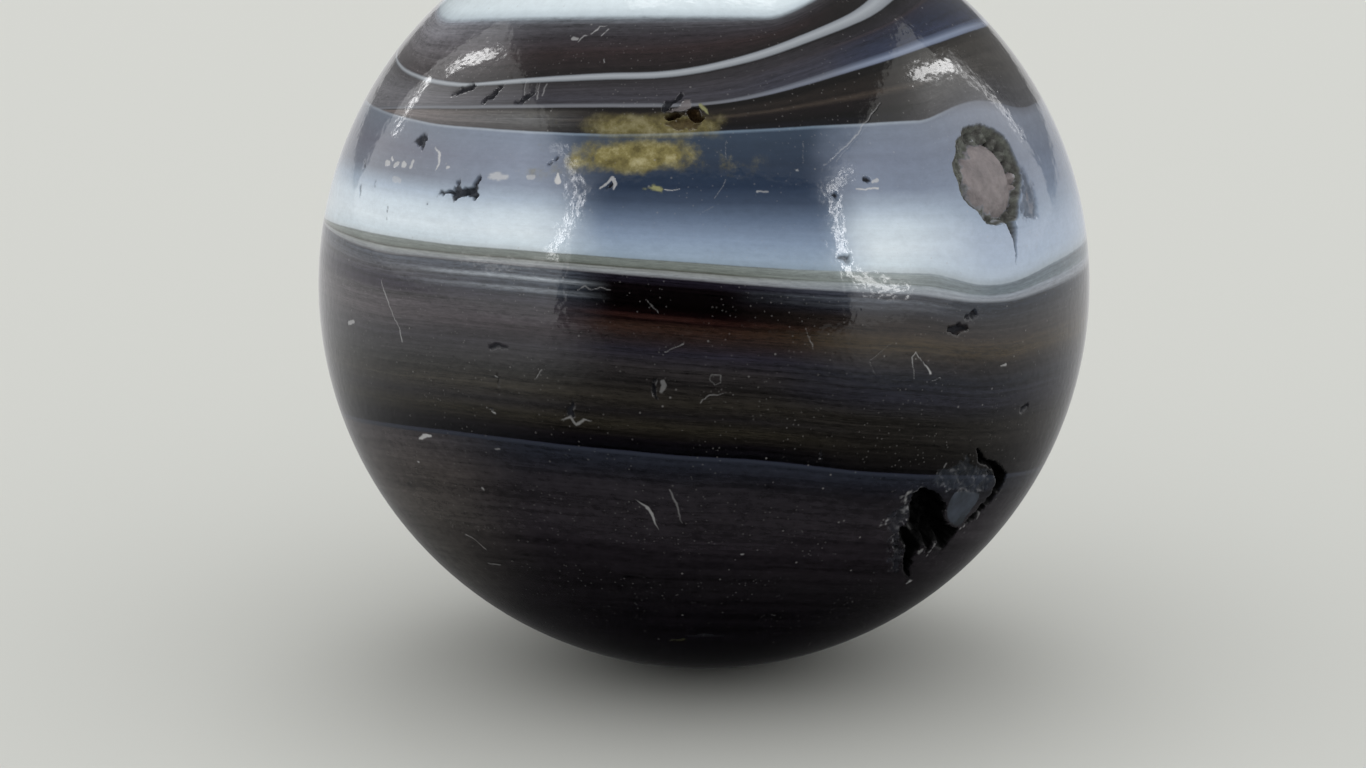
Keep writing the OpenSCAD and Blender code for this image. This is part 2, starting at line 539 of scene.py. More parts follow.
LAYERS = (
    Layer("cap", CAP_FLOOR, CAP_COLOURS, lines=0.03, line_count=8),
    Layer(
        "smoky", WHITE_LINE_TOP, SMOKY_LEFT,
        ((Where.FAR_LEFT, SMOKY_FAR_LEFT), (Where.RIGHT, SMOKY_RIGHT)),
        lines=0.35, line_count=9, edge=0.016,
    ),
    Layer("white_line", WHITE_LINE_FLOOR, WHITE_COLOURS, lines=0.02, edge=0.005),
    Layer(
        "slate", LILAC_LINE_TOP, SLATE_LEFT,
        ((Where.FAR_LEFT, SLATE_FAR_LEFT), (Where.RIGHT, SLATE_RIGHT)),
        lines=0.25, line_count=7,
    ),
    Layer(
        "lilac_line", LILAC_LINE_FLOOR, LILAC_LEFT,
        ((Where.RIGHT, LILAC_RIGHT),),
        lines=0.02, edge=0.004,
    ),
    Layer(
        "brown", BROWN_FLOOR, BROWN_LEFT,
        (
            (Where.FAR_LEFT, BROWN_FAR_LEFT), (Where.SHADED_CENTRE, BROWN_SHADED_CENTRE),
            (Where.FAR_RIGHT, BROWN_FAR_RIGHT),
        ),
        lines=0.3, line_count=6,
    ),
    Layer(
        "milk", MILK_FLOOR, MILK_THICK,
        (
            (Where.FAR_LEFT, MILK_FAR_LEFT), (Where.RIGHT, MILK_RIGHT),
            (Where.THIN, MILK_THIN_AND_SHADED), (Where.FAR_RIGHT, MILK_FAR_RIGHT),
        ),
        lines=0.05, line_count=10,
    ),
    Layer(
        "border", BORDER_FLOOR, BORDER_LEFT,
        ((Where.RIGHT, BORDER_RIGHT), (Where.FAR_RIGHT, BORDER_FAR_RIGHT)),
        lines=0.2, line_count=5, edge=0.004,
    ),
    Layer(
        "dark_body", BLUE_LINE_TOP, BODY_LEFT,
        (
            (Where.FAR_LEFT, BODY_FAR_LEFT), (Where.SHADED_CENTRE, BODY_SHADED_CENTRE),
            (Where.RIGHT, BODY_RIGHT), (Where.FAR_RIGHT, BODY_FAR_RIGHT),
        ),
        lines=0.45, line_count=38, edge=0.006,
    ),
    Layer("blue_line", BLUE_LINE_FLOOR, BLUE_COLOURS, lines=0.05, edge=0.004),
    Layer(
        "foot", FOOT_FLOOR, FOOT_RIGHT,
        ((Where.FAR_LEFT, FOOT_FAR_LEFT),),
        lines=0.4, line_count=24, edge=0.004,
    ),
)


# --------------------------------------------------------------------------------------------------
# Flaws
# --------------------------------------------------------------------------------------------------


class Trace(Enum):
    """What a flaw leaves showing. The value names the mesh attribute that holds it."""

    CRUST = "crust"
    NODULE = "nodule"
    # Partly dark stone and partly painted shade: the black inside the chip's hollow and its crack.
    HOLLOW = "hollow"
    FLECK = "fleck"
    FACET = "facet"
    PIT = "pit"
    AMBER = "amber"
    SOIL = "soil"


class Waves:
    """Smooth random ripples through space, from about -1 to 1, the same on every run."""

    def __init__(self, length: float, seed: int, count: int = 20) -> None:
        """Draws the waves.

        Args:
            length: About how far apart the ripples are, in millimetres.
            seed: Fixes the draw.
            count: How many plane waves are added up.
        """
        draw = np.random.default_rng(seed)
        ways = draw.normal(size=(count, 3))
        ways /= np.linalg.norm(ways, axis=1, keepdims=True)
        self.pushes = ways * (2 * math.pi / length) * draw.uniform(0.6, 1.5, (count, 1))
        self.phases = draw.uniform(0, 2 * math.pi, count)
        self.share = 1.1 / math.sqrt(count)

    def at(self, points: Points) -> np.ndarray:
        """Returns the ripples' height at each point."""
        return np.sin(points @ self.pushes.T + self.phases).sum(1) * self.share


RAGGED_ACROSS = Waves(0.55, 3)
RAGGED_UP = Waves(0.55, 4)
CHIPPED_ACROSS = Waves(0.2, 5)
CHIPPED_UP = Waves(0.2, 6)
LUMPS = Waves(0.42, 7)
CRUMBS = Waves(0.16, 8)


@dataclass(frozen=True)
class Place:
    """A place on the ball, by azimuth and elevation in degrees."""

    azimuth: float
    elevation: float

    def axes(self) -> np.ndarray:
        """Finds the directions of a flaw that lies here.

        Returns:
            The directions across, up and out of the stone, as rows.
        """
        turn, rise = math.radians(self.azimuth), math.radians(self.elevation)
        across = np.array([math.cos(turn), math.sin(turn), 0.0])
        flat = math.cos(rise)
        out = np.array([flat * math.sin(turn), -flat * math.cos(turn), math.sin(rise)])
        return np.stack([across, np.cross(out, across), out])


@dataclass
class Skin:
    """The points of the ball's surface and what its flaws do to each.

    Attributes:
        points: The points on the true ball, in millimetres.
        sink: How far each lies below the polished surface, in millimetres.
        rough: How rough the stone is there, in millimetres.
        traces: How much of each trace shows there, from 0 to 1.
    """

    points: Points
    sink: np.ndarray = field(init=False)
    rough: np.ndarray = field(init=False)
    traces: dict[Trace, np.ndarray] = field(init=False)

    def __post_init__(self) -> None:
        """Starts with an unmarked surface."""
        self.sink = np.zeros(len(self.points))
        self.rough = np.zeros(len(self.points))
        self.traces = {trace: np.zeros(len(self.points)) for trace in Trace}

    def stain(self, near: np.ndarray, trace: Trace, amount: np.ndarray) -> None:
        """Lets a trace show over whatever showed there before.

        Args:
            near: Indices of the points that it may touch.
            trace: The trace.
            amount: How much of it shows at each of them.
        """
        for other, values in self.traces.items():
            if other is trace:
                values[near] = np.maximum(values[near], amount)
            else:
                values[near] *= 1 - amount


def rounded(outline: tuple[tuple[float, float], ...], steps: int = 5) -> np.ndarray:
    """Draws a smooth closed curve through an outline's points.

    Args:
        outline: The points, across and up.
        steps: How many pieces each stretch between two points gets.

    Returns:
        The curve's points, as rows.
    """
    before, here, after, beyond = (np.roll(np.array(outline), shift, axis=0) for shift in (1, 0, -1, -2))
    rows = []
    for t in np.arange(steps) / steps:
        bend = 2 * before - 5 * here + 4 * after - beyond
        swing = 3 * here - before - 3 * after + beyond
        rows.append(here + 0.5 * t * ((after - before) + t * (bend + t * swing)))
    return np.stack(rows, axis=1).reshape(-1, 2)


def gap_to_line(flat: Points, line: np.ndarray) -> np.ndarray:
    """Measures how far points lie outside a line that has a width.

    Args:
        flat: The points, across and up.
        line: The line's points as rows: across, up and half width.

    Returns:
        The gap to the line's edge, which is negative inside it.
    """
    gaps = np.full(len(flat), np.inf)
    for start, end in zip(line[:-1], line[1:]):
        way = end[:2] - start[:2]
        t = np.clip((flat - start[:2]) @ way / max(way @ way, 1e-9), 0.0, 1.0)
        off = np.linalg.norm(flat - start[:2] - t[:, None] * way, axis=1)
        gaps = np.minimum(gaps, off - start[2] - t * (end[2] - start[2]))
    return gaps


def gap_to_outline(flat: Points, outline: np.ndarray) -> np.ndarray:
    """Measures how far points lie outside a closed outline.

    Args:
        flat: The points, across and up.
        outline: The outline's points as rows.

    Returns:
        The gap to the outline, which is negative inside it.
    """
    near = np.full(len(flat), np.inf)
    inside = np.zeros(len(flat), bool)
    for start, end in zip(outline, np.roll(outline, -1, axis=0)):
        way = end - start
        t = np.clip((flat - start) @ way / (way @ way), 0.0, 1.0)
        near = np.minimum(near, np.linalg.norm(flat - start - t[:, None] * way, axis=1))
        spans = (start[1] > flat[:, 1]) != (end[1] > flat[:, 1])
        if spans.any():
            crossing = start[0] + (flat[:, 1] - start[1]) * way[0] / (way[1] if way[1] else 1e-9)
            inside ^= spans & (flat[:, 0] < crossing)
    return np.where(inside, -near, near)


# How far outside a flaw's reach its ragged edge may stray, in millimetres.
STRAY_MARGIN = 0.6
# How far outside a flaw's edge its fine mesh goes on, in millimetres.
FINE_MARGIN = 0.05
# How much longer the mesh's edges get per millimetre past that.
COARSENING = 0.35
# How large the small chips of a ragged edge are beside its large ones.
SMALL_CHIPS = 0.6


@dataclass(frozen=True, kw_only=True)
class Flaw(ABC):
    """Something that breaks the polished surface. Its measures are in millimetres.

    Attributes:
        place: Where it lies.
        depth: How deep it is.
        wall: How far in from its edge it takes to reach that depth.
        trace: What it leaves showing.
        strength: How much of that shows.
        rough: How rough its floor is.
        ragged: How far its edge strays.
        rim: The widest that its stain takes to show in full.
        mesh: The length of the mesh edges that it needs.
    """

    place: Place
    depth: float = 0.0
    wall: float = 0.08
    trace: Trace = Trace.FLECK
    strength: float = 1.0
    rough: float = 0.0
    ragged: float = 0.04
    rim: float = 0.08
    mesh: float = 0.05

    @abstractmethod
    def reach(self) -> float:
        """Returns how far the flaw reaches from its place."""

    @abstractmethod
    def gap(self, flat: Points) -> np.ndarray:
        """Returns how far points lie outside the flaw's edge."""

    def near(self, points: Points) -> tuple[np.ndarray, Points]:
        """Finds the points that the flaw may touch.

        Args:
            points: Points on the ball, in millimetres.

        Returns:
            Their indices, and those points across and up from the flaw's place.
        """
        own = points @ self.place.axes().T
        span = self.reach() + STRAY_MARGIN
        near = np.flatnonzero((own[:, 2] > 0) & (np.hypot(own[:, 0], own[:, 1]) < span))
        return near, own[near, :2]

    def stray(self, points: Points, flat: Points) -> Points:
        """Moves flat points by the raggedness of the flaw's edge.

        Args:
            points: The points on the ball.
            flat: The same points, across and up.

        Returns:
            The moved points, across and up.
        """
        big = np.stack([RAGGED_ACROSS.at(points), RAGGED_UP.at(points)], axis=1)
        small = np.stack([CHIPPED_ACROSS.at(points), CHIPPED_UP.at(points)], axis=1)
        return flat + self.ragged * (big + SMALL_CHIPS * small)

    def mesh_length(self, points: Points, coarse: float) -> np.ndarray:
        """Finds the mesh edge length that the flaw wants.

        Args:
            points: Points on the ball, in millimetres.
            coarse: The longest length.

        Returns:
            The length at each point.
        """
        wanted = np.full(len(points), coarse)
        near, flat = self.near(points)
        outside = np.maximum(self.gap(flat) - FINE_MARGIN, 0.0)
        wanted[near] = np.minimum(coarse, self.mesh + COARSENING * outside)
        return wanted

    def mark(self, skin: Skin) -> None:
        """Sinks, roughens and stains the surface.

        Args:
            skin: The ball's surface, which is changed.
        """
        near, flat = self.near(skin.points)
        if not len(near):
            return
        points = skin.points[near]
        gap = self.gap(self.stray(points, flat))
        inside = smooth(0.0, -self.wall, gap)
        skin.sink[near] = np.maximum(skin.sink[near], inside * self.depth_at(points, flat))
        skin.rough[near] = np.maximum(skin.rough[near], inside * self.rough)
        skin.stain(near, self.trace, smooth(0.0, -min(self.wall, self.rim), gap) * self.strength)

    def depth_at(self, points: Points, flat: Points) -> np.ndarray:
        """Returns the flaw's full depth at each point."""
        return np.full(len(points), self.depth)


@dataclass(frozen=True, kw_only=True)
class Stroke(Flaw):
    """A scratch, a crack, a fleck or a small pit: a line with a width.

    Attributes:
        line: Its points, each across, up and half width.
    """

    line: tuple[tuple[float, float, float], ...]

    def reach(self) -> float:
        """Returns how far the flaw reaches from its place."""
        return max(math.hypot(x, y) + w for x, y, w in self.line)

    def gap(self, flat: Points) -> np.ndarray:
        """Returns how far points lie outside the flaw's edge."""
        line = self.line if len(self.line) > 1 else self.line * 2
        return gap_to_line(flat, np.array(line))


@dataclass(frozen=True, kw_only=True)
class Patch(Flaw):
    """A flaw with an outline.

    Attributes:
        outline: Its points, each across and up.
        lumps: How much its depth varies in lumps, as a share of it.
    """

    outline: tuple[tuple[float, float], ...]
    lumps: float = 0.0

    def reach(self) -> float:
        """Returns how far the flaw reaches from its place."""
        return max(math.hypot(x, y) for x, y in self.outline)

    def gap(self, flat: Points) -> np.ndarray:
        """Returns how far points lie outside the flaw's edge."""
        return gap_to_outline(flat, rounded(self.outline))

    def depth_at(self, points: Points, flat: Points) -> np.ndarray:
        """Returns the flaw's full depth at each point."""
        return self.depth * (1 + self.lumps * (LUMPS.at(points) + 0.4 * CRUMBS.at(points)))


@dataclass(frozen=True, kw_only=True)
class Nodule(Flaw):
    """A smooth, broad knob at the bottom of the pocket.

    Attributes:
        middle: Its middle, across and up.
        half: Its half width and half height.
        top: How far its top lies below the polished surface.
        height: How far it falls from its top to its edge.
        square: How flat its top is: 2 for a ball, and more for a flatter top.
        uneven: How far its surface rises and falls.
        seam: Over what height its colour fades into the pocket's.
    """

    middle: tuple[float, float]
    half: tuple[float, float]
    top: float
    height: float
    square: float = 2.0
    uneven: float = 0.02
    seam: float = 0.06

    def reach(self) -> float:
        """Returns how far the flaw reaches from its place."""
        return math.hypot(*self.middle) + max(self.half)

    def share(self, flat: Points) -> np.ndarray:
        """Returns how far out from its middle points lie, as a share of its size."""
        return np.linalg.norm((flat - np.array(self.middle)) / np.array(self.half), axis=1)

    def gap(self, flat: Points) -> np.ndarray:
        """Returns how far points lie outside the flaw's edge."""
        return (self.share(flat) - 1) * min(self.half)

    def mark(self, skin: Skin) -> None:
        """Fills the pocket up to the nodule's surface.

        Args:
            skin: The ball's surface, which is changed.
        """
        near, flat = self.near(skin.points)
        points = skin.points[near]
        share = self.share(self.stray(points, flat))
        fall = 1 - np.sqrt(np.maximum(1 - share**self.square, 0.0))
        dome = self.top + self.height * fall + self.uneven * LUMPS.at(points)
        shows = smooth(-self.uneven, self.seam, skin.sink[near] - dome) * (share < 1)
        skin.sink[near] = np.where(share < 1, np.minimum(skin.sink[near], dome), skin.sink[near])
        skin.rough[near] *= 1 - shows
        skin.stain(near, self.trace, shows)


POCKET = Place(52, 24.5)
CHIP = Place(39.5, -27)
ROUND_PIT = Place(-3.7, 40)


def lump(
    across: float, up: float, radius: float, top: float, trace: Trace = Trace.CRUST
) -> Nodule:
    """Makes one lump of the rubble that fills the pocket's far side, a little taller than it is wide."""
    half = (radius, radius * 1.15)
    return Nodule(place=POCKET, middle=(across, up), half=half, top=top, height=0.35, trace=trace)


def glint(
    strength: float, wall: float, *line: tuple[float, float, float], trace: Trace = Trace.FLECK
) -> Stroke:
    """Makes a pale bit in the pocket or beside it: a painted glint, where the rough stone catches the
    light.
    """
    return Stroke(place=POCKET, line=line, trace=trace, strength=strength, wall=wall)


POCKET_FLAWS: tuple[Flaw, ...] = (
    # A shallow, soft dark patch beside it.
    Patch(
        place=POCKET,
        outline=(
            (1.1, -1.0), (1.65, -0.3), (1.75, 0.25), (2.05, 0.0), (2.3, -0.6), (2.35, -1.2), (2.1, -1.7),
            (1.1, -1.6),
        ),
        depth=0.05, wall=0.25, lumps=0.6, trace=Trace.PIT, strength=0.55, rough=0.02, ragged=0.08,
        rim=0.25,
    ),
    # Painted glints on the stone beside the pocket.
    glint(0.6, 0.12, (1.85, -0.75, 0.1), (1.75, -1.0, 0.14), trace=Trace.NODULE),
    glint(0.5, 0.12, (2.0, -1.15, 0.1), (1.7, -1.35, 0.12), trace=Trace.NODULE),
    # The pocket: a rough shoulder, and a deep crevice along its right side, whose crust is painted darker
    # where it is deep, as painted shade.
    Patch(
        place=POCKET,
        outline=(
            (-0.87, 1.44), (-0.33, 1.76), (0.11, 1.82), (0.91, 1.66), (1.45, 1.34), (1.75, 0.85),
            (1.8, 0.26), (1.85, -0.12), (1.62, -0.55), (1.25, -0.9), (0.97, -1.33), (0.6, -1.6),
            (0.1, -1.55), (-0.46, -1.5), (-0.9, -1.25), (-1.07, -0.9), (-1.47, -0.53), (-1.57, -0.19),
            (-1.51, 0.23), (-1.5, 0.74), (-1.2, 1.04),
        ),
        depth=0.36, wall=0.22, lumps=0.15, trace=Trace.CRUST, rough=0.03, ragged=0.025, mesh=0.035,
    ),
    Patch(
        place=POCKET,
        outline=(
            (0.1, 1.0), (0.75, 1.3), (1.38, 1.05), (1.7, 0.5), (1.78, 0.0), (1.58, -0.5), (1.2, -0.9),
            (0.85, -1.4), (0.3, -1.45), (-0.1, -1.25), (0.4, -0.8), (0.8, 0.1), (0.6, 0.7),
        ),
        depth=0.95, wall=0.25, lumps=0.12, trace=Trace.CRUST, rough=0.045, ragged=0.03, mesh=0.035,
    ),
    lump(1.52, -0.16, 0.17, 0.16, Trace.NODULE),
    lump(1.44, -0.5, 0.15, 0.2, Trace.NODULE),
    lump(1.62, 0.2, 0.2, 0.2),
    lump(1.5, 0.65, 0.22, 0.22),
    lump(1.25, 1.1, 0.24, 0.22),
    lump(0.75, 1.45, 0.22, 0.2),
    lump(1.05, -0.85, 0.2, 0.3),
    lump(0.7, -1.25, 0.2, 0.28),
    Stroke(
        place=POCKET,
        line=(
            (0.42, -1.35, 0.34), (0.44, -1.75, 0.22), (0.43, -2.05, 0.13), (0.34, -2.45, 0.07),
            (0.23, -2.85, 0.02),
        ),
        depth=0.4, wall=0.12, trace=Trace.CRUST, rough=0.04, ragged=0.025, mesh=0.04,
    ),
    Nodule(
        place=POCKET, middle=(0.2, -0.02), half=(1.34, 1.38), top=0.13, height=0.5, square=2.8,
        trace=Trace.NODULE, ragged=0.012,
    ),
    # Painted glints on the pocket's rough stone.
    glint(0.6, 0.06, (0.3, 1.42, 0.06)),
    glint(0.5, 0.06, (0.55, 1.2, 0.05)),
    glint(0.6, 0.07, (1.56, -0.12, 0.08), (1.6, -0.28, 0.05)),
    glint(0.4, 0.08, (-0.6, -1.02, 0.07), (-0.5, -1.12, 0.05)),
    glint(0.45, 0.1, (-0.1, -1.36, 0.09), (0.06, -1.42, 0.06)),
    glint(0.35, 0.1, (-0.42, -1.3, 0.08)),
)

CHIP_FLAWS: tuple[Flaw, ...] = (
    # Crushed stone above the hollow, and down its left side.
    Patch(
        place=CHIP,
        outline=(
            (-0.5, 1.9), (-0.15, 2.25), (0.4, 2.2), (0.8, 2.5), (1.4, 1.95), (2.15, 1.65), (2.4, 1.05),
            (2.2, 0.7), (0.65, 1.15), (-0.1, 1.6),
        ),
        depth=0.04, wall=0.15, lumps=0.7, trace=Trace.FACET, strength=0.4, rough=0.012, ragged=0.08,
    ),
    Patch(
        place=CHIP,
        outline=(
            (-0.9, 1.5), (-1.35, 1.2), (-1.85, 0.6), (-1.75, 0.2), (-1.5, -0.1), (-1.5, -0.45),
            (-1.15, -1.0), (-0.75, -1.85), (-0.3, -2.0), (-0.5, -1.15), (-0.9, -0.5), (-1.0, 0.12),
            (-0.7, 0.5), (-0.75, 1.0),
        ),
        depth=0.1, wall=0.15, lumps=0.6, trace=Trace.FACET, strength=0.25, rough=0.02, ragged=0.1,
    ),
    # The smooth facet between the hollow and its curved crack.
    Patch(
        place=CHIP,
        outline=(
            (0.68, 1.1), (1.16, 1.05), (2.02, 0.68), (2.0, 0.28), (1.75, -0.14), (1.6, -0.48),
            (1.05, -0.26), (0.63, 0.28), (0.55, 0.72),
        ),
        wall=0.05, trace=Trace.FACET, ragged=0.02,
    ),
    # The hollow: black inside, partly dark stone and partly painted shade.
    Patch(
        place=CHIP,
        outline=(
            (-0.97, 1.6), (-0.45, 1.5), (0.1, 1.12), (0.45, 0.7), (0.57, 0.23), (0.96, -0.26),
            (1.5, -0.52), (1.56, -0.9), (1.2, -1.5), (0.72, -0.95), (0.48, -1.4), (0.15, -0.9),
            (0.02, -1.35), (0.1, -1.75), (0.4, -2.5), (0.1, -2.3), (-0.3, -1.7), (-0.6, -0.95),
            (-1.2, -0.1), (-1.0, 0.2), (-0.95, 0.6), (-1.15, 1.1),
        ),
        depth=0.8, wall=0.3, lumps=0.15, trace=Trace.HOLLOW, rough=0.02, ragged=0.035, rim=0.04,
    ),
    # Its curved crack, black inside in the same way.
    Stroke(
        place=CHIP,
        line=(
            (1.28, 2.55, 0.07), (1.6, 2.1, 0.15), (1.85, 1.93, 0.1), (2.3, 1.65, 0.13),
            (2.68, 1.28, 0.21), (3.0, 0.9, 0.28), (2.96, 0.52, 0.26), (2.86, 0.36, 0.15),
            (2.72, 0.18, 0.24), (2.55, 0.04, 0.13), (2.4, -0.1, 0.26), (2.27, -0.2, 0.14),
            (2.12, -0.33, 0.22), (1.9, -0.5, 0.12),
        ),
        depth=0.35, wall=0.16, trace=Trace.HOLLOW, rough=0.01, ragged=0.025, rim=0.03, mesh=0.04,
    ),
)

# Crushed bits round the hollow: across, up, radius and how bright.
CHIP_CRUMBS = (
    (-1.3, 1.42, 0.18, 0.6), (-1.02, 1.52, 0.13, 0.5), (-1.85, 0.43, 0.12, 0.65),
    (-1.2, 0.78, 0.16, 0.3), (-1.15, 0.34, 0.08, 0.4), (-1.4, -0.25, 0.07, 0.4), (-1.3, -0.5, 0.06, 0.3),
    (-0.72, -1.75, 0.13, 0.35), (-0.5, -1.35, 0.07, 0.3), (-0.06, -0.68, 0.11, 0.5),
    (-0.3, -0.82, 0.1, 0.45), (0.12, -1.27, 0.12, 0.5), (0.78, -1.02, 0.12, 0.55),
    (0.72, -1.25, 0.13, 0.5), (0.62, -1.55, 0.1, 0.5), (0.56, -2.75, 0.13, 1.0),
    (1.75, -0.72, 0.13, 0.95), (1.62, -0.84, 0.08, 0.5), (0.88, 1.05, 0.1, 0.4), (1.5, 1.18, 0.07, 0.45),
    (-0.1, 2.36, 0.1, 0.45), (-0.43, 2.1, 0.07, 0.25), (2.38, -0.38, 0.08, 0.6),
    (2.22, -0.58, 0.06, 0.5), (3.3, 0.3, 0.06, 0.3),
)


def crumb(across: float, up: float, radius: float, bright: float) -> Stroke:
    """Makes one crushed bit beside the hollow, a little longer than it is wide.

    Args:
        across: How far right of the hollow's middle it lies.
        up: How far above it.
        radius: Its half width.
        bright: How pale it is, up to 1.

    Returns:
        The bit.
    """
    size = radius * 0.75
    right, rise = size * 0.3, size * 0.4
    line = ((across - right, up - rise, size), (across + right, up + rise, size * 0.8))
    return Stroke(place=CHIP, line=line, strength=bright * 0.6, wall=size, rough=0.02, ragged=0.07)


def scratch(
    azimuth: float, elevation: float, *line: tuple[float, float, float], strength: float
) -> Stroke:
    """Makes a fine light line, a few hundredths of a millimetre wide."""
    looks = {"depth": 0.008, "wall": 0.03, "ragged": 0.015, "mesh": 0.035}
    return Stroke(place=Place(azimuth, elevation), line=line, strength=strength, **looks)


def pit(
    azimuth: float, elevation: float, *line: tuple[float, float, float], depth: float = 0.08
) -> Stroke:
    """Makes a small dark pit."""
    looks = {"wall": 0.07, "trace": Trace.PIT, "rough": 0.02, "mesh": 0.045}
    return Stroke(place=Place(azimuth, elevation), line=line, depth=depth, **looks)


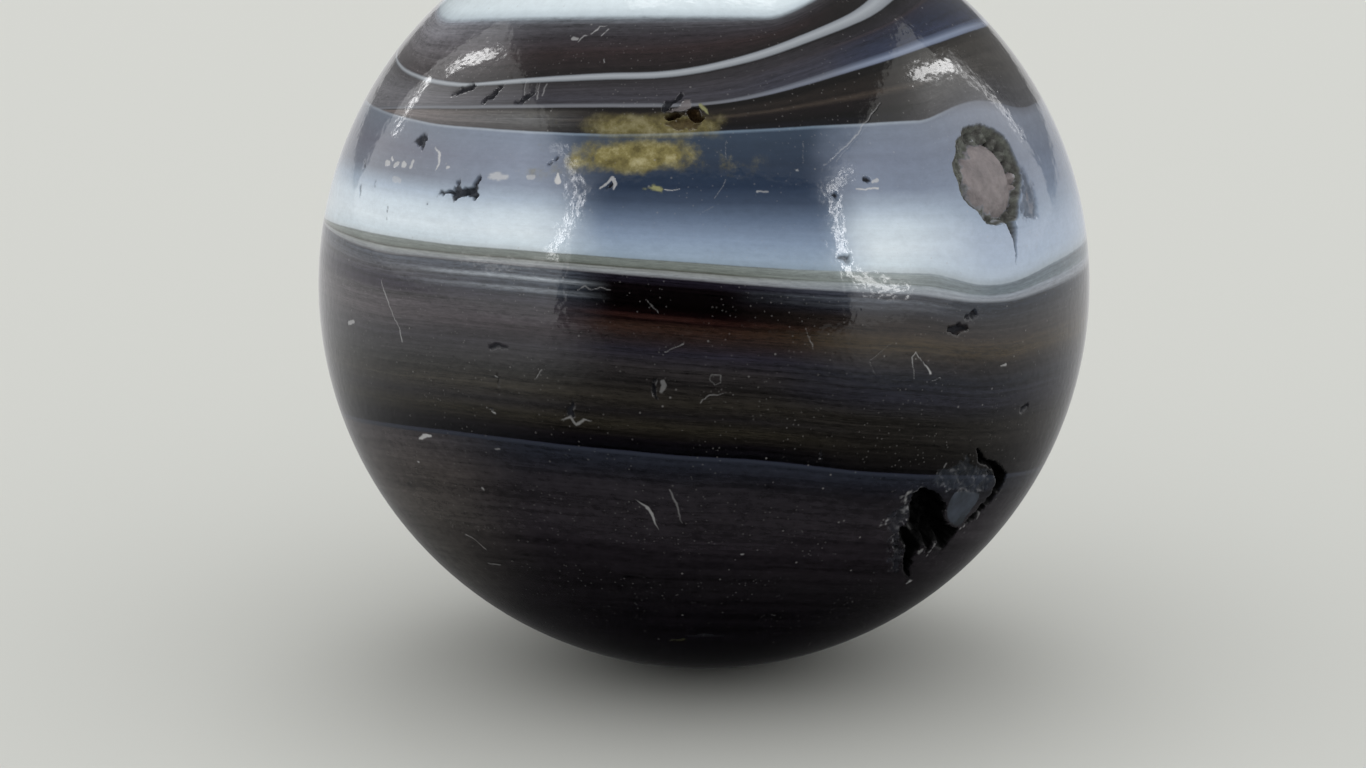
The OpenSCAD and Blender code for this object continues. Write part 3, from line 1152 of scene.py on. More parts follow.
SMALL_FLAWS: tuple[Flaw, ...] = (
    # The winged pit and the fin.
    Patch(
        place=Place(-42.5, 24.0),
        outline=(
            (-0.83, -0.39), (-0.75, -0.12), (-0.29, 0.08), (-0.22, 0.37), (0.1, 0.19), (0.5, 0.28),
            (0.62, 0.84), (0.77, 0.33), (0.82, -0.15), (0.56, -0.1), (0.24, -0.14), (-0.04, -0.34),
            (-0.32, -0.16), (-0.72, -0.3),
        ),
        depth=0.12, wall=0.1, lumps=0.8, trace=Trace.PIT, strength=0.92, rough=0.05, ragged=0.045,
        mesh=0.04,
    ),
    Patch(
        place=Place(-56.0, 29.5),
        outline=((-0.42, -0.2), (-0.2, 0.0), (0.12, 0.34), (0.3, 0.2), (0.42, -0.22), (0.0, -0.1)),
        depth=0.08, wall=0.1, lumps=0.8, trace=Trace.PIT, strength=0.85, rough=0.05, ragged=0.035,
        mesh=0.04,
    ),
    # The round pit: a wing, a grey facet, two craters on a brown shelf, and a pale blade.
    Patch(
        place=ROUND_PIT,
        outline=(
            (-0.6, -0.45), (0.15, -0.4), (0.6, -0.45), (0.5, -0.65), (0.2, -0.76), (-0.28, -0.72),
            (-0.6, -0.6),
        ),
        depth=0.08, wall=0.12, trace=Trace.SOIL, strength=0.7, rough=0.03,
    ),
    Patch(
        place=ROUND_PIT,
        outline=(
            (-0.78, -0.03), (-0.65, 0.24), (-0.4, 0.27), (-0.18, 0.56), (-0.04, 0.4), (-0.26, 0.16),
            (-0.68, -0.15),
        ),
        depth=0.1, wall=0.08, trace=Trace.PIT, strength=0.9, rough=0.02, ragged=0.025, mesh=0.04,
    ),
    Patch(
        place=ROUND_PIT,
        outline=(
            (-0.6, -0.1), (-0.26, 0.04), (-0.05, 0.3), (0.16, 0.3), (0.2, 0.0), (-0.15, -0.11),
            (-0.46, -0.16),
        ),
        depth=0.05, wall=0.06, trace=Trace.NODULE, strength=0.75, ragged=0.02, mesh=0.04,
    ),
    Patch(
        place=ROUND_PIT,
        outline=(
            (-0.68, -0.2), (-0.39, -0.15), (-0.1, -0.18), (-0.04, -0.32), (-0.26, -0.45), (-0.55, -0.44),
        ),
        depth=0.3, wall=0.14, lumps=0.3, trace=Trace.SOIL, rough=0.04, ragged=0.03, mesh=0.04,
    ),
    Patch(
        place=ROUND_PIT,
        outline=(
            (-0.04, -0.15), (0.17, -0.05), (0.39, 0.0), (0.52, -0.2), (0.66, -0.3), (0.54, -0.48),
            (0.15, -0.44),
        ),
        depth=0.35, wall=0.14, lumps=0.3, trace=Trace.SOIL, rough=0.04, ragged=0.03, mesh=0.04,
    ),
    Patch(
        place=ROUND_PIT,
        outline=((0.38, 0.16), (0.5, 0.2), (0.66, 0.0), (0.74, -0.26), (0.57, -0.12), (0.44, 0.0)),
        depth=0.02, wall=0.05, trace=Trace.AMBER, strength=0.85, ragged=0.02, mesh=0.04,
    ),
    # Dark slashes near the top.
    pit(-51.0, 38.5, (-0.45, -0.22, 0.05), (-0.07, 0.04, 0.12), (0.3, 0.24, 0.1), (0.52, 0.36, 0.03)),
    pit(-43.0, 39.0, (-0.26, -0.24, 0.1), (-0.02, 0.02, 0.15), (0.18, 0.4, 0.05)),
    pit(
        -36.0, 40.0, (-0.16, -0.3, 0.07), (0.07, -0.08, 0.12), (0.32, 0.18, 0.07), (0.27, 0.42, 0.02),
        depth=0.06,
    ),
    scratch(-36.0, 40.0, (-0.2, 0.52, 0.02), (0.0, 0.0, 0.03), strength=0.35),
    scratch(-36.0, 40.0, (0.38, 0.46, 0.02), (0.49, -0.08, 0.03), strength=0.4),
    scratch(-36.0, 40.0, (0.62, 0.5, 0.025), (0.64, 0.05, 0.03), strength=0.35),
    # Flecks and dark spots on the milky layer.
    pit(-26.0, 30.5, (-0.14, -0.08, 0.04), (0.14, 0.14, 0.07)),
    pit(-68.0, 19.5, (-0.1, 0.05, 0.09), (0.05, -0.15, 0.07)),
    pit(-57.5, 19.0, (-0.08, 0.07, 0.05), (0.0, -0.12, 0.05), depth=0.05),
    pit(-57.0, 17.0, (0.0, 0.09, 0.04), (0.05, -0.06, 0.03), depth=0.05),
    pit(-63.5, 21.5, (-0.12, 0.08, 0.05), (0.0, -0.1, 0.04), depth=0.05),
    pit(-70.0, 23.0, (-0.12, 0.1, 0.05), (0.04, -0.09, 0.05), depth=0.05),
    pit(-48.5, 21.5, (0.0, 0.04, 0.06), (0.08, 0.0, 0.04), depth=0.05),
    pit(21.0, 25.5, (-0.06, 0.03, 0.08), (0.06, 0.03, 0.08)),
    pit(27.0, 28.0, (-0.04, -0.03, 0.09), (0.06, -0.05, 0.08), depth=0.05),
    Stroke(
        place=Place(21.0, 16.5), line=((-0.14, 0.06, 0.1), (0.12, 0.02, 0.14)), depth=0.05,
        trace=Trace.FACET, strength=0.85,
    ),
    scratch(-57.5, 25.5, (-1.0, -0.12, 0.12), (-0.85, -0.1, 0.1), strength=0.7),
    scratch(-57.5, 25.5, (-0.78, 0.09, 0.06), (-0.7, 0.04, 0.05), strength=0.7),
    scratch(-57.5, 25.5, (-0.45, -0.06, 0.1), (-0.3, -0.02, 0.08), strength=0.7),
    scratch(-57.5, 25.5, (0.0, 0.02, 0.12), (0.14, 0.0, 0.1), strength=0.75),
    scratch(-57.5, 25.5, (0.44, 0.26, 0.06), (0.46, 0.02, 0.08), strength=0.65),
    scratch(-57.5, 25.5, (-0.2, -0.5, 0.12), (0.15, -0.5, 0.1), strength=0.35),
    scratch(
        -50.0, 28.5, (-0.19, 0.2, 0.03), (0.1, 0.05, 0.07), (0.26, -0.25, 0.05), (0.22, -0.48, 0.03),
        strength=0.8,
    ),
    scratch(-46.5, 27.0, (0.0, 0.0, 0.07), (0.08, 0.02, 0.06), strength=0.7),
    scratch(-29.5, 28.0, (-0.06, -0.03, 0.08), (0.15, -0.01, 0.08), strength=0.45),
    scratch(-24.5, 28.0, (-0.01, 0.2, 0.04), (0.03, -0.04, 0.13), strength=1.0),
    scratch(-5.0, 27.5, (-0.27, 0.02, 0.03), (0.19, 0.03, 0.02), strength=0.8),
    scratch(9.0, 27.0, (-0.14, 0.03, 0.05), (0.21, 0.02, 0.03), strength=0.45),
    scratch(15.0, 30.0, (0.02, 0.01, 0.05), (0.04, 0.01, 0.05), strength=0.45),
    scratch(26.5, 26.5, (-0.35, 0.02, 0.03), (0.39, -0.03, 0.05), strength=0.8),
    scratch(28.2, 27.6, (-0.05, -0.05, 0.06), (0.12, 0.0, 0.07), strength=0.6),
    Stroke(
        place=Place(-8.0, 27.5), line=((-0.24, 0.01, 0.05), (0.02, 0.03, 0.11), (0.24, 0.02, 0.05)),
        wall=0.07, trace=Trace.AMBER,
    ),
    Stroke(
        place=Place(-35.5, 27.5), line=((-0.3, -0.08, 0.1), (0.0, -0.05, 0.16), (0.35, 0.02, 0.12)),
        wall=0.1, strength=0.6,
    ),
    # A broken ring of small chips.
    scratch(
        -13.0, 28.0, (-0.78, -0.13, 0.04), (-0.6, 0.02, 0.05), (-0.43, 0.2, 0.07), (-0.3, 0.05, 0.07),
        (-0.35, -0.15, 0.04), strength=0.6,
    ),
    pit(-13.0, 28.0, (-0.62, -0.2, 0.05), (-0.48, -0.06, 0.09), (-0.4, 0.04, 0.05), depth=0.08),
    # Fine lines on the milky layer.
    scratch(
        26.0, 34.5, (1.38, 1.01, 0.02), (0.67, 0.4, 0.025), (0.01, -0.18, 0.03), (-0.58, -0.54, 0.02),
        (-1.13, -0.86, 0.012), strength=0.5,
    ),
    scratch(24.5, 33.5, (0.95, 0.5, 0.012), (0.05, -0.22, 0.018), (-0.7, -0.75, 0.01), strength=0.3),
    scratch(3.5, 33.5, (0.02, 0.35, 0.015), (0.0, -0.3, 0.02), strength=0.3),
    scratch(2.5, 28.0, (0.17, 0.25, 0.02), (0.04, -0.03, 0.02), (-0.21, -0.38, 0.015), strength=0.4),
    scratch(17.0, 32.5, (0.02, 0.4, 0.015), (-0.1, -0.31, 0.02), strength=0.3),
    scratch(0.5, 24.5, (-0.16, -0.06, 0.015), (0.15, 0.13, 0.02), strength=0.35),
    # Scribbles in the smoky layer.
    scratch(-33.5, 50.5, (0.33, 0.0, 0.08), (0.46, -0.02, 0.07), strength=0.4),
    scratch(-33.5, 50.5, (0.56, -0.12, 0.03), (0.65, 0.15, 0.04), (0.78, 0.24, 0.02), strength=0.45),
    scratch(
        -33.5, 50.5, (0.84, 0.3, 0.03), (0.96, 0.47, 0.04), (1.0, 0.62, 0.03), (1.2, 0.7, 0.02),
        strength=0.5,
    ),
    scratch(-33.5, 50.5, (1.22, 0.27, 0.03), (1.32, 0.57, 0.03), strength=0.55),
    scratch(-33.5, 50.5, (1.7, -0.5, 0.03), (1.76, -0.64, 0.03), strength=0.4),
    # Marks on the dark body.
    scratch(
        -52.5, 5.0, (-0.69, 0.79, 0.02), (-0.34, 0.41, 0.035), (0.04, -0.05, 0.025),
        (0.44, -0.49, 0.025), (0.66, -0.9, 0.045), strength=0.5,
    ),
    scratch(-63.5, 0.5, (-0.3, -0.05, 0.07), (0.1, 0.06, 0.08), strength=0.55),
    scratch(-7.5, 11.0, (-0.23, 0.19, 0.02), (0.16, -0.23, 0.02), strength=0.3),
    scratch(-4.5, 5.0, (-0.26, -0.13, 0.02), (0.29, 0.14, 0.025), strength=0.4),
    scratch(-24.5, 0.0, (-0.1, -0.19, 0.02), (0.11, 0.16, 0.03), strength=0.3),
    scratch(
        -16.5, 13.0, (-0.49, -0.09, 0.02), (-0.3, 0.05, 0.03), (-0.03, -0.09, 0.02), (0.22, 0.08, 0.03),
        (0.61, -0.02, 0.015), strength=0.3,
    ),
    pit(-31.0, 3.0, (-0.3, -0.02, 0.07), (0.0, 0.03, 0.1), (0.28, 0.05, 0.06), depth=0.05),
    pit(-31.0, -2.0, (-0.08, 0.3, 0.02), (0.03, 0.0, 0.04), (-0.02, -0.42, 0.03), depth=0.06),
    scratch(-31.0, -2.0, (-0.12, 0.16, 0.03), (0.0, 0.1, 0.02), strength=0.4),
    pit(-32.5, -6.5, (-0.12, 0.08, 0.05), (0.06, 0.0, 0.06), depth=0.06),
    scratch(-32.3, -7.0, (-0.02, 0.05, 0.02), (0.12, 0.02, 0.03), strength=0.6),
    pit(-19.5, -4.5, (0.06, 0.33, 0.03), (0.07, 0.05, 0.08), (0.0, -0.26, 0.14), depth=0.1),
    scratch(
        -18.5, -6.5, (-0.56, -0.02, 0.02), (-0.26, 0.08, 0.05), (-0.04, -0.11, 0.06), (0.2, 0.05, 0.05),
        (0.48, 0.08, 0.02), strength=0.28,
    ),
    pit(
        -7.0, -1.0, (0.06, 0.32, 0.03), (-0.1, 0.1, 0.1), (-0.12, -0.12, 0.1), (0.06, -0.3, 0.04),
        depth=0.16,
    ),
    scratch(-6.0, -0.5, (-0.06, -0.2, 0.05), (0.03, 0.0, 0.08), (-0.02, 0.14, 0.07), strength=0.2),
    scratch(
        1.5, 0.5, (-0.18, -0.02, 0.02), (-0.08, 0.14, 0.025), (0.14, 0.12, 0.03), (0.16, -0.08, 0.02),
        (-0.02, -0.16, 0.02), (-0.18, -0.02, 0.02), strength=0.25,
    ),
    scratch(1.0, -2.0, (-0.37, -0.2, 0.02), (-0.1, 0.03, 0.025), (0.43, 0.11, 0.015), strength=0.4),
    scratch(
        32.0, 0.5, (-0.13, -0.45, 0.015), (-0.2, 0.25, 0.025), (-0.08, 0.38, 0.025), (0.2, 0.06, 0.02),
        (0.5, -0.36, 0.05), strength=0.6,
    ),
    scratch(35.0, -2.5, (-0.15, -0.01, 0.015), (0.21, 0.08, 0.02), strength=0.4),
    scratch(25.5, 2.0, (0.51, 0.45, 0.012), (-0.3, 0.01, 0.02), (-0.1, -0.49, 0.012), strength=0.3),
    scratch(15.0, 6.0, (-0.12, 0.29, 0.012), (0.1, -0.2, 0.03), (0.14, -0.39, 0.012), strength=0.3),
    pit(42.0, 6.0, (-0.2, -0.02, 0.09), (0.22, 0.03, 0.12), depth=0.1),
    pit(39.5, 4.5, (-0.34, -0.04, 0.09), (0.0, 0.0, 0.16), (0.3, -0.02, 0.1), depth=0.16),
    scratch(49.0, -2.5, (-0.17, -0.02, 0.03), (0.09, -0.04, 0.06), strength=0.5),
    pit(55.5, -10.5, (-0.14, -0.07, 0.1), (0.16, -0.02, 0.1), depth=0.08),
    pit(17.0, -11.5, (-0.02, 0.18, 0.03), (0.05, -0.18, 0.05), depth=0.06),
    # Marks on the foot.
    scratch(-46.5, -13.0, (-0.28, -0.18, 0.04), (0.0, -0.04, 0.1), (0.34, 0.06, 0.05), strength=0.7),
    scratch(-32.0, -12.5, (-0.12, -0.06, 0.03), (0.08, 0.0, 0.03), strength=0.35),
    scratch(-49.5, -18.0, (-0.03, 0.0, 0.05), (0.02, 0.0, 0.05), strength=0.5),
    scratch(
        -9.0, -20.5, (-0.33, 0.43, 0.012), (-0.02, 0.19, 0.05), (0.18, -0.07, 0.07),
        (0.35, -0.73, 0.015), strength=0.42,
    ),
    scratch(-4.5, -19.5, (-0.15, 0.6, 0.04), (0.06, 0.01, 0.05), (0.19, -0.65, 0.02), strength=0.2),
    scratch(-42.5, -31.0, (-0.34, 0.22, 0.04), (0.04, 0.08, 0.02), (0.29, -0.28, 0.03), strength=0.45),
    scratch(-41.0, -35.5, (-0.25, -0.04, 0.03), (0.28, 0.05, 0.03), strength=0.35),
    scratch(-36.5, -20.0, (0.0, 0.05, 0.05), (0.05, 0.0, 0.04), strength=0.35),
    scratch(4.0, -28.5, (0.36, -0.02, 0.04), (0.42, -0.02, 0.03), strength=0.45),
    Stroke(
        place=Place(-6.0, -51.0), line=((-0.22, -0.1, 0.09), (0.18, 0.0, 0.1)), depth=0.12, rough=0.04,
        trace=Trace.AMBER, strength=0.2,
    ),
    pit(0.5, -49.5, (-0.55, -0.08, 0.1), (-0.05, 0.03, 0.16), (0.58, -0.09, 0.08), depth=0.16),
)


# --------------------------------------------------------------------------------------------------
# Finishes
# --------------------------------------------------------------------------------------------------


@dataclass(frozen=True)
class Spot:
    """A place in the stone, as the material sees it. All measures are in ball radii.

    Attributes:
        whole: The place itself.
        across: How far right of the ball's middle it lies.
        up: How high it lies, square to the leaning layers.
        front: How far to the front it lies, along them.
    """

    whole: bpy.types.NodeSocket
    across: Num
    up: Num
    front: Num


@dataclass(frozen=True)
class Stain:
    """A ragged stain that lies along the layers. Its measures are in ball radii.

    Attributes:
        across: Where its middle lies from left to right, and how far it reaches on either side.
        level: The height of its middle, and how far it reaches up and down.
        band: The same of the band that its ragged edge never leaves.
        full: How full it is.
        ragged: How ragged it is.
        strength: How much of it shows.
    """

    across: tuple[float, float]
    level: tuple[float, float]
    band: tuple[float, float]
    full: float
    ragged: float
    strength: float

    def share(self, across: Num, up: Num, noise: Num) -> Num:
        """Finds how much of it shows at a place.

        Args:
            across: How far right of the ball's middle the place lies.
            up: How high it lies.
            noise: A noise about 0, for its edge.

        Returns:
            The share of its paint.
        """
        inner = across.bell(*self.across) * up.bell(*self.level)
        shows = (inner * self.full + noise * self.ragged).between(0.1, 0.9)
        return shows * up.bell(*self.band) * self.strength


OCHRE_STAINS = (
    Stain((-0.14, 0.2), (0.393, 0.04), (0.392, 0.045), full=1.3, ragged=1.8, strength=0.64),
    Stain((-0.17, 0.19), (0.318, 0.05), (0.318, 0.065), full=1.4, ragged=2.4, strength=1.1),
)


@dataclass(frozen=True)
class AgateFinish(Finish):
    """The stone's colours, polish and flaws, as one material. It reads the mesh's flaw attributes.

    Attributes:
        radius: The ball's radius, in metres.
        name: The material's name.
        lean: How far the layers lean back, in degrees.
        waver: How far the layers waver, in ball radii.
        line_contrast: How much darker or lighter the fine lines are, where a layer has them in full.
        mottle: How much darker or lighter the grains along them are.
        least_mottle: How much of that every layer has.
        moss: How much darker or lighter the soft clouds along them are.
        refraction: How strongly the polished stone bends light.
        polish: Roughness of the polished surface.
        polish_spread: How much that varies.
        wave: Height of the waves in the polish, in micrometres.
        ripple: Height of the fine ripples on them.
        pinhole: Depth of its pinholes.
        grit: Height of the grit on broken stone.
        broken_rough: Roughness of broken stone.
        broken_shine: How much of a polished surface's shine broken stone has, where 0.5 is all of it.
        crevice: How deep broken stone starts to take painted shade, towards the hollow's black, and where
            that shade is darkest, in metres.
    """

    radius: float
    name: str = "agate"
    lean: float = 14.0
    waver: float = 0.008
    line_contrast: float = 5.5
    mottle: float = 4.5
    least_mottle: float = 0.15
    moss: float = 2.5
    refraction: float = 1.54
    polish: float = 0.085
    polish_spread: float = 0.04
    wave: float = 8.0
    ripple: float = 0.4
    pinhole: float = 2.0
    grit: float = 55.0
    broken_rough: float = 0.6
    broken_shine: float = 0.12
    crevice: tuple[float, float] = (0.3 * MM, 0.7 * MM)

    crust: tuple[Shade, ...] = ((0.3, "3f3c3a"), (0.45, "585855"), (0.58, "6a6d67"), (0.75, "85867f"))
    nodule: tuple[Shade, ...] = ((0.3, "757071"), (0.55, "8a8384"), (0.75, "999191"))
    # Black, partly dark stone and partly painted shade; deep crust darkens towards it as painted shade.
    hollow: str = "050506"
    fleck: str = "c6c6c7"
    dust: str = "a9a7a6"
    facet: tuple[Shade, ...] = ((0.35, "33373c"), (0.7, "454b56"))
    pit: str = "23242a"
    amber: str = "8f8f62"
    soil: tuple[Shade, ...] = ((0.3, "1d130a"), (0.5, "3a2b19"), (0.7, "5f5138"))
    ochre: tuple[Shade, ...] = ((0.33, "5a522f"), (0.5, "81784a"), (0.67, "aaa27a"))

    def shader(self, tree: Tree) -> bpy.types.Node:
        """Builds the shader.

        Args:
            tree: The material's empty tree.

        Returns:
            The shader's last node.
        """
        spot = self._spot(tree)
        place = spot.whole
        colour = self._ochre(tree, spot, self._layers(tree, spot))
        colour = self._flaws(tree, place, self._specks(tree, place, colour))
        polished = {
            "Base Color": colour,
            "Roughness": self._roughness(tree, place),
            "IOR": self.refraction,
            "Normal": self._polish_relief(tree, place),
        }
        broken = {
            "Base Color": colour,
            "Roughness": self.broken_rough,
            "Specular IOR Level": self.broken_shine,
            "Normal": self._broken_relief(tree, place),
        }
        smooth_stone, rough_stone = (
            tree.node("ShaderNodeBsdfPrincipled", None, sockets).outputs[0]
            for sockets in (polished, broken)
        )
        dull = self._named(tree, Trace.CRUST.value)
        for trace in (Trace.HOLLOW, Trace.NODULE, Trace.PIT, Trace.SOIL):
            dull = dull.at_least(self._named(tree, trace.value))
        return tree.node("ShaderNodeMixShader", None, {0: dull, 1: smooth_stone, 2: rough_stone})

    def _spot(self, tree: Tree) -> Spot:
        """Finds the place that is looked at.

        Args:
            tree: The material's tree.

        Returns:
            The place, along the leaning layers.
        """
        place = tree.scaled(tree.node("ShaderNodeTexCoord").outputs["Object"], 1 / self.radius)
        parts = tree.node("ShaderNodeSeparateXYZ", None, {0: place})
        x, y, z = (Num(tree, parts.outputs[i]) for i in range(3))
        cos, sin = math.cos(math.radians(self.lean)), math.sin(math.radians(self.lean))
        return Spot(place, x, z * cos + y * sin, z * sin - y * cos)

    def _layers(self, tree: Tree, spot: Spot) -> Any:
        """Lays the layers' colours over each other, from the top down.

        Args:
            tree: The material's tree.
            spot: The place that is looked at.

        Returns:
            The stone's colour there.
        """
        place, across, front = spot.whole, spot.across, spot.front
        level = spot.up + (tree.noise(place, scale=3.0, detail=3.0, roughness=0.5) - 0.5) * self.waver
        cloud = tree.noise(place, scale=2.6, detail=3.0, roughness=0.55) - 0.5
        # Round the middle of the front the stone takes darker colours, which paint shade there.
        facing = front.between(0.1, 0.8)
        thin = ((1.0 - across * across * 5.0) * facing).at_least(0.0)
        wavering = across + cloud * 0.2
        # Each goes from the place where that part of the stone starts to where it is full, in ball radii.
        share = {
            Where.FAR_LEFT: wavering.between(-0.4, -0.85),
            Where.SHADED_CENTRE: wavering.bell(0.1, 0.52).between(0.0, 0.6) * facing,
            Where.THIN: (thin + cloud * 0.9).between(0.05, 0.75),
            Where.RIGHT: (across + cloud * 0.4).between(0.05, 0.5),
            Where.FAR_RIGHT: wavering.between(0.45, 0.75),
        }
        above = level * 0.0 + STONE_TOP
        colour: Any = linear(LAYERS[0].colours[0][1])
        line_place: Num | float = 0.0
        line_strength: Any = 0.0
        for i, layer in enumerate(LAYERS):
            below = layer.underside.height(across, front)
            down = ((above - level) / (above - below).at_least(THINNEST_LAYER)).at_least(0.0).at_most(1.0)
            own = tree.ramp(down, layer.colours, layer.name)
            for where, colours in layer.elsewhere:
                own = tree.mix(share[where], own, tree.ramp(down, colours, f"{layer.name} {where.value}"))
            line_place = down * layer.line_count + line_place
            if i == 0:
                colour, line_strength = own, layer.lines
            else:
                shows = (above - level).between(-layer.edge / 2, layer.edge / 2)
                colour = tree.mix(shows, colour, own)
                line_strength = shows * (layer.lines - line_strength) + line_strength
            above = below
        return self._lines(tree, spot, colour, line_place, line_strength)

    def _lines(self, tree: Tree, spot: Spot, colour: Any, count: Num, strength: Num) -> Any:
        """Marks the layers with fine lines that follow them.

        Args:
            tree: The material's tree.
            spot: The place that is looked at.
            colour: The stone's plain colour there.
            count: How many lines lie above the place.
            strength: How strongly they show.

        Returns:
            The marked colour.
        """
        across, front = spot.across, spot.front
        where = tree.vector(across * 0.8, front * 0.8, count)
        fine = tree.noise(where, scale=1.3, detail=4.0, roughness=0.7) - 0.5
        where = tree.vector(across, front, count * 0.06)
        mottle = tree.noise(where, scale=34.0, detail=5.0, roughness=0.75) - 0.5
        where = tree.vector(across, front, count * 0.15)
        moss = tree.noise(where, scale=7.0, detail=4.0, roughness=0.7) - 0.5
        cloudy = mottle * (strength * self.mottle + self.least_mottle) + moss * strength * self.moss
        shade = 1.0 + fine * strength * self.line_contrast + cloudy
        return tree.mix(1.0, colour, tree.vector(shade, shade, shade), "MULTIPLY")

    def _ochre(self, tree: Tree, spot: Spot, colour: Any) -> Any:
        """Stains two patches of the stone with ochre, one over the other.

        Args:
            tree: The material's tree.
            spot: The place that is looked at.
            colour: The stone's colour there.

        Returns:
            The stained colour.
        """
        place, across = spot.whole, spot.across
        ragged = tree.noise(place, scale=11.0, detail=5.0, roughness=0.65) - 0.5
        paint = tree.ramp(tree.noise(place, scale=24.0, detail=4.0, roughness=0.65), self.ochre, "ochre")
        upper, lower = (stain.share(across, spot.up, ragged) for stain in OCHRE_STAINS)
        near = across.bell(-0.17, 0.34).between(0.0, 0.4) * spot.front.between(0.2, 0.5)
        return tree.mix(upper.at_least(lower) * near, colour, paint)

    def _specks(self, tree: Tree, place: Any, colour: Any) -> Any:
        """Scatters fine dust in the polish.

        Args:
            tree: The material's tree.
            place: The place that is looked at.
            colour: The stone's colour there.

        Returns:
            The dusty colour.
        """
        rare = tree.noise(place, scale=7.0, detail=1.0, roughness=0.5)
        # Each speck fades from its edge to its middle, and only shows where the noise lets it.
        large = tree.dots(place, 30.0).between(0.12, 0.04) * rare.between(0.48, 0.62) * 0.3
        small = tree.dots(place, 64.0).between(0.2, 0.05) * rare.between(0.6, 0.4) * 0.16
        return tree.mix(large.at_least(small), colour, linear(self.dust))

    def _flaws(self, tree: Tree, place: Any, colour: Any) -> Any:
        """Paints what the flaws leave showing.

        Args:
            tree: The material's tree.
            place: The place that is looked at.
            colour: The stone's colour there.

        Returns:
            The finished colour.
        """
        grain = tree.noise(place, scale=60.0, detail=3.0, roughness=0.6)
        broad = tree.noise(place, scale=18.0, detail=3.0, roughness=0.55)
        paints = {
            Trace.FACET: tree.ramp(broad, self.facet),
            # Deep crust darkens towards black: painted shade.
            Trace.CRUST: tree.mix(
                self._named(tree, "sink").between(*self.crevice) * 0.8,
                tree.ramp(grain * 0.6 + broad * 0.4, self.crust),
                linear(self.hollow),
            ),
            Trace.NODULE: tree.ramp(broad * 0.8 + grain * 0.2, self.nodule),
            # The hollow's black: partly dark stone, partly painted shade.
            Trace.HOLLOW: linear(self.hollow),
            Trace.PIT: linear(self.pit),
            Trace.AMBER: linear(self.amber),
            Trace.SOIL: tree.ramp(broad * 0.5 + grain * 0.5, self.soil),
            Trace.FLECK: linear(self.fleck),
        }
        for trace, paint in paints.items():
            colour = tree.mix(self._named(tree, trace.value), colour, paint)
        return colour

    @staticmethod
    def _named(tree: Tree, name: str) -> Num:
        """Reads one of the mesh's numbers by its name."""
        settings = {"attribute_type": "GEOMETRY", "attribute_name": name}
        return tree.number("ShaderNodeAttribute", settings, None, "Fac")

    def _roughness(self, tree: Tree, place: Any) -> Num:
        """Finds the roughness of the polished stone, and of its duller flaws.

        Args:
            tree: The material's tree.
            place: The place that is looked at.

        Returns:
            The roughness.
        """
        wear = tree.noise(place, scale=5.0, detail=4.0, roughness=0.6) - 0.5
        rough = self.polish + wear * self.polish_spread
        for trace, own in ((Trace.FACET, 0.16), (Trace.AMBER, 0.35), (Trace.FLECK, 0.5)):
            shows = self._named(tree, trace.value)
            rough = rough + shows * (own - rough)
        return rough

    def _polish_relief(self, tree: Tree, place: Any) -> Any:
        """Ruffles the polish, which is never quite even.

        Args:
            tree: The material's tree.
            place: The place that is looked at.

        Returns:
            The normal.
        """
        waves = tree.noise(place, scale=42.0, detail=1.5, roughness=0.5) * self.wave
        ripples = tree.noise(place, scale=160.0, detail=1.0, roughness=0.5) * self.ripple
        holes = tree.dots(place, 26.0).between(0.16, 0.02) * -self.pinhole
        return self._relief(tree, waves + ripples + holes)

    def _broken_relief(self, tree: Tree, place: Any) -> Any:
        """Returns the normal of broken stone, with its grit."""
        return self._relief(tree, tree.noise(place, scale=85.0, detail=3.0, roughness=0.6) * self.grit)

    @staticmethod
    def _relief(tree: Tree, height: Num) -> Any:
        """Returns the normal of a surface whose height is in micrometres."""
        inputs = {"Strength": 1.0, "Distance": MICROMETRE, "Height": height}
        return tree.node("ShaderNodeBump", None, inputs).outputs[0]


@dataclass(frozen=True)
class Matt(Finish):
    """A plain matt surface.

    Attributes:
        name: The material's name.
        colour: Its colour code.
    """

    name: str
    colour: str

    def shader(self, tree: Tree) -> bpy.types.Node:
        """Builds the shader.

        Args:
            tree: The material's empty tree.

        Returns:
            The shader's last node.
        """
        return tree.node("ShaderNodeBsdfDiffuse", None, {"Color": linear(self.colour)})


@dataclass(frozen=True)
class Glow(Finish):
    """An even white light, which reflects nothing.

    Attributes:
        name: The material's name.
        radiance: How brightly it shines, where 1 is white.
    """

    name: str
    radiance: float

    def shader(self, tree: Tree) -> bpy.types.Node:
        """Builds the shader.

        Args:
            tree: The material's empty tree.

        Returns:
            The shader's last node.
        """
        return tree.node("ShaderNodeEmission", None, {"Strength": self.radiance})


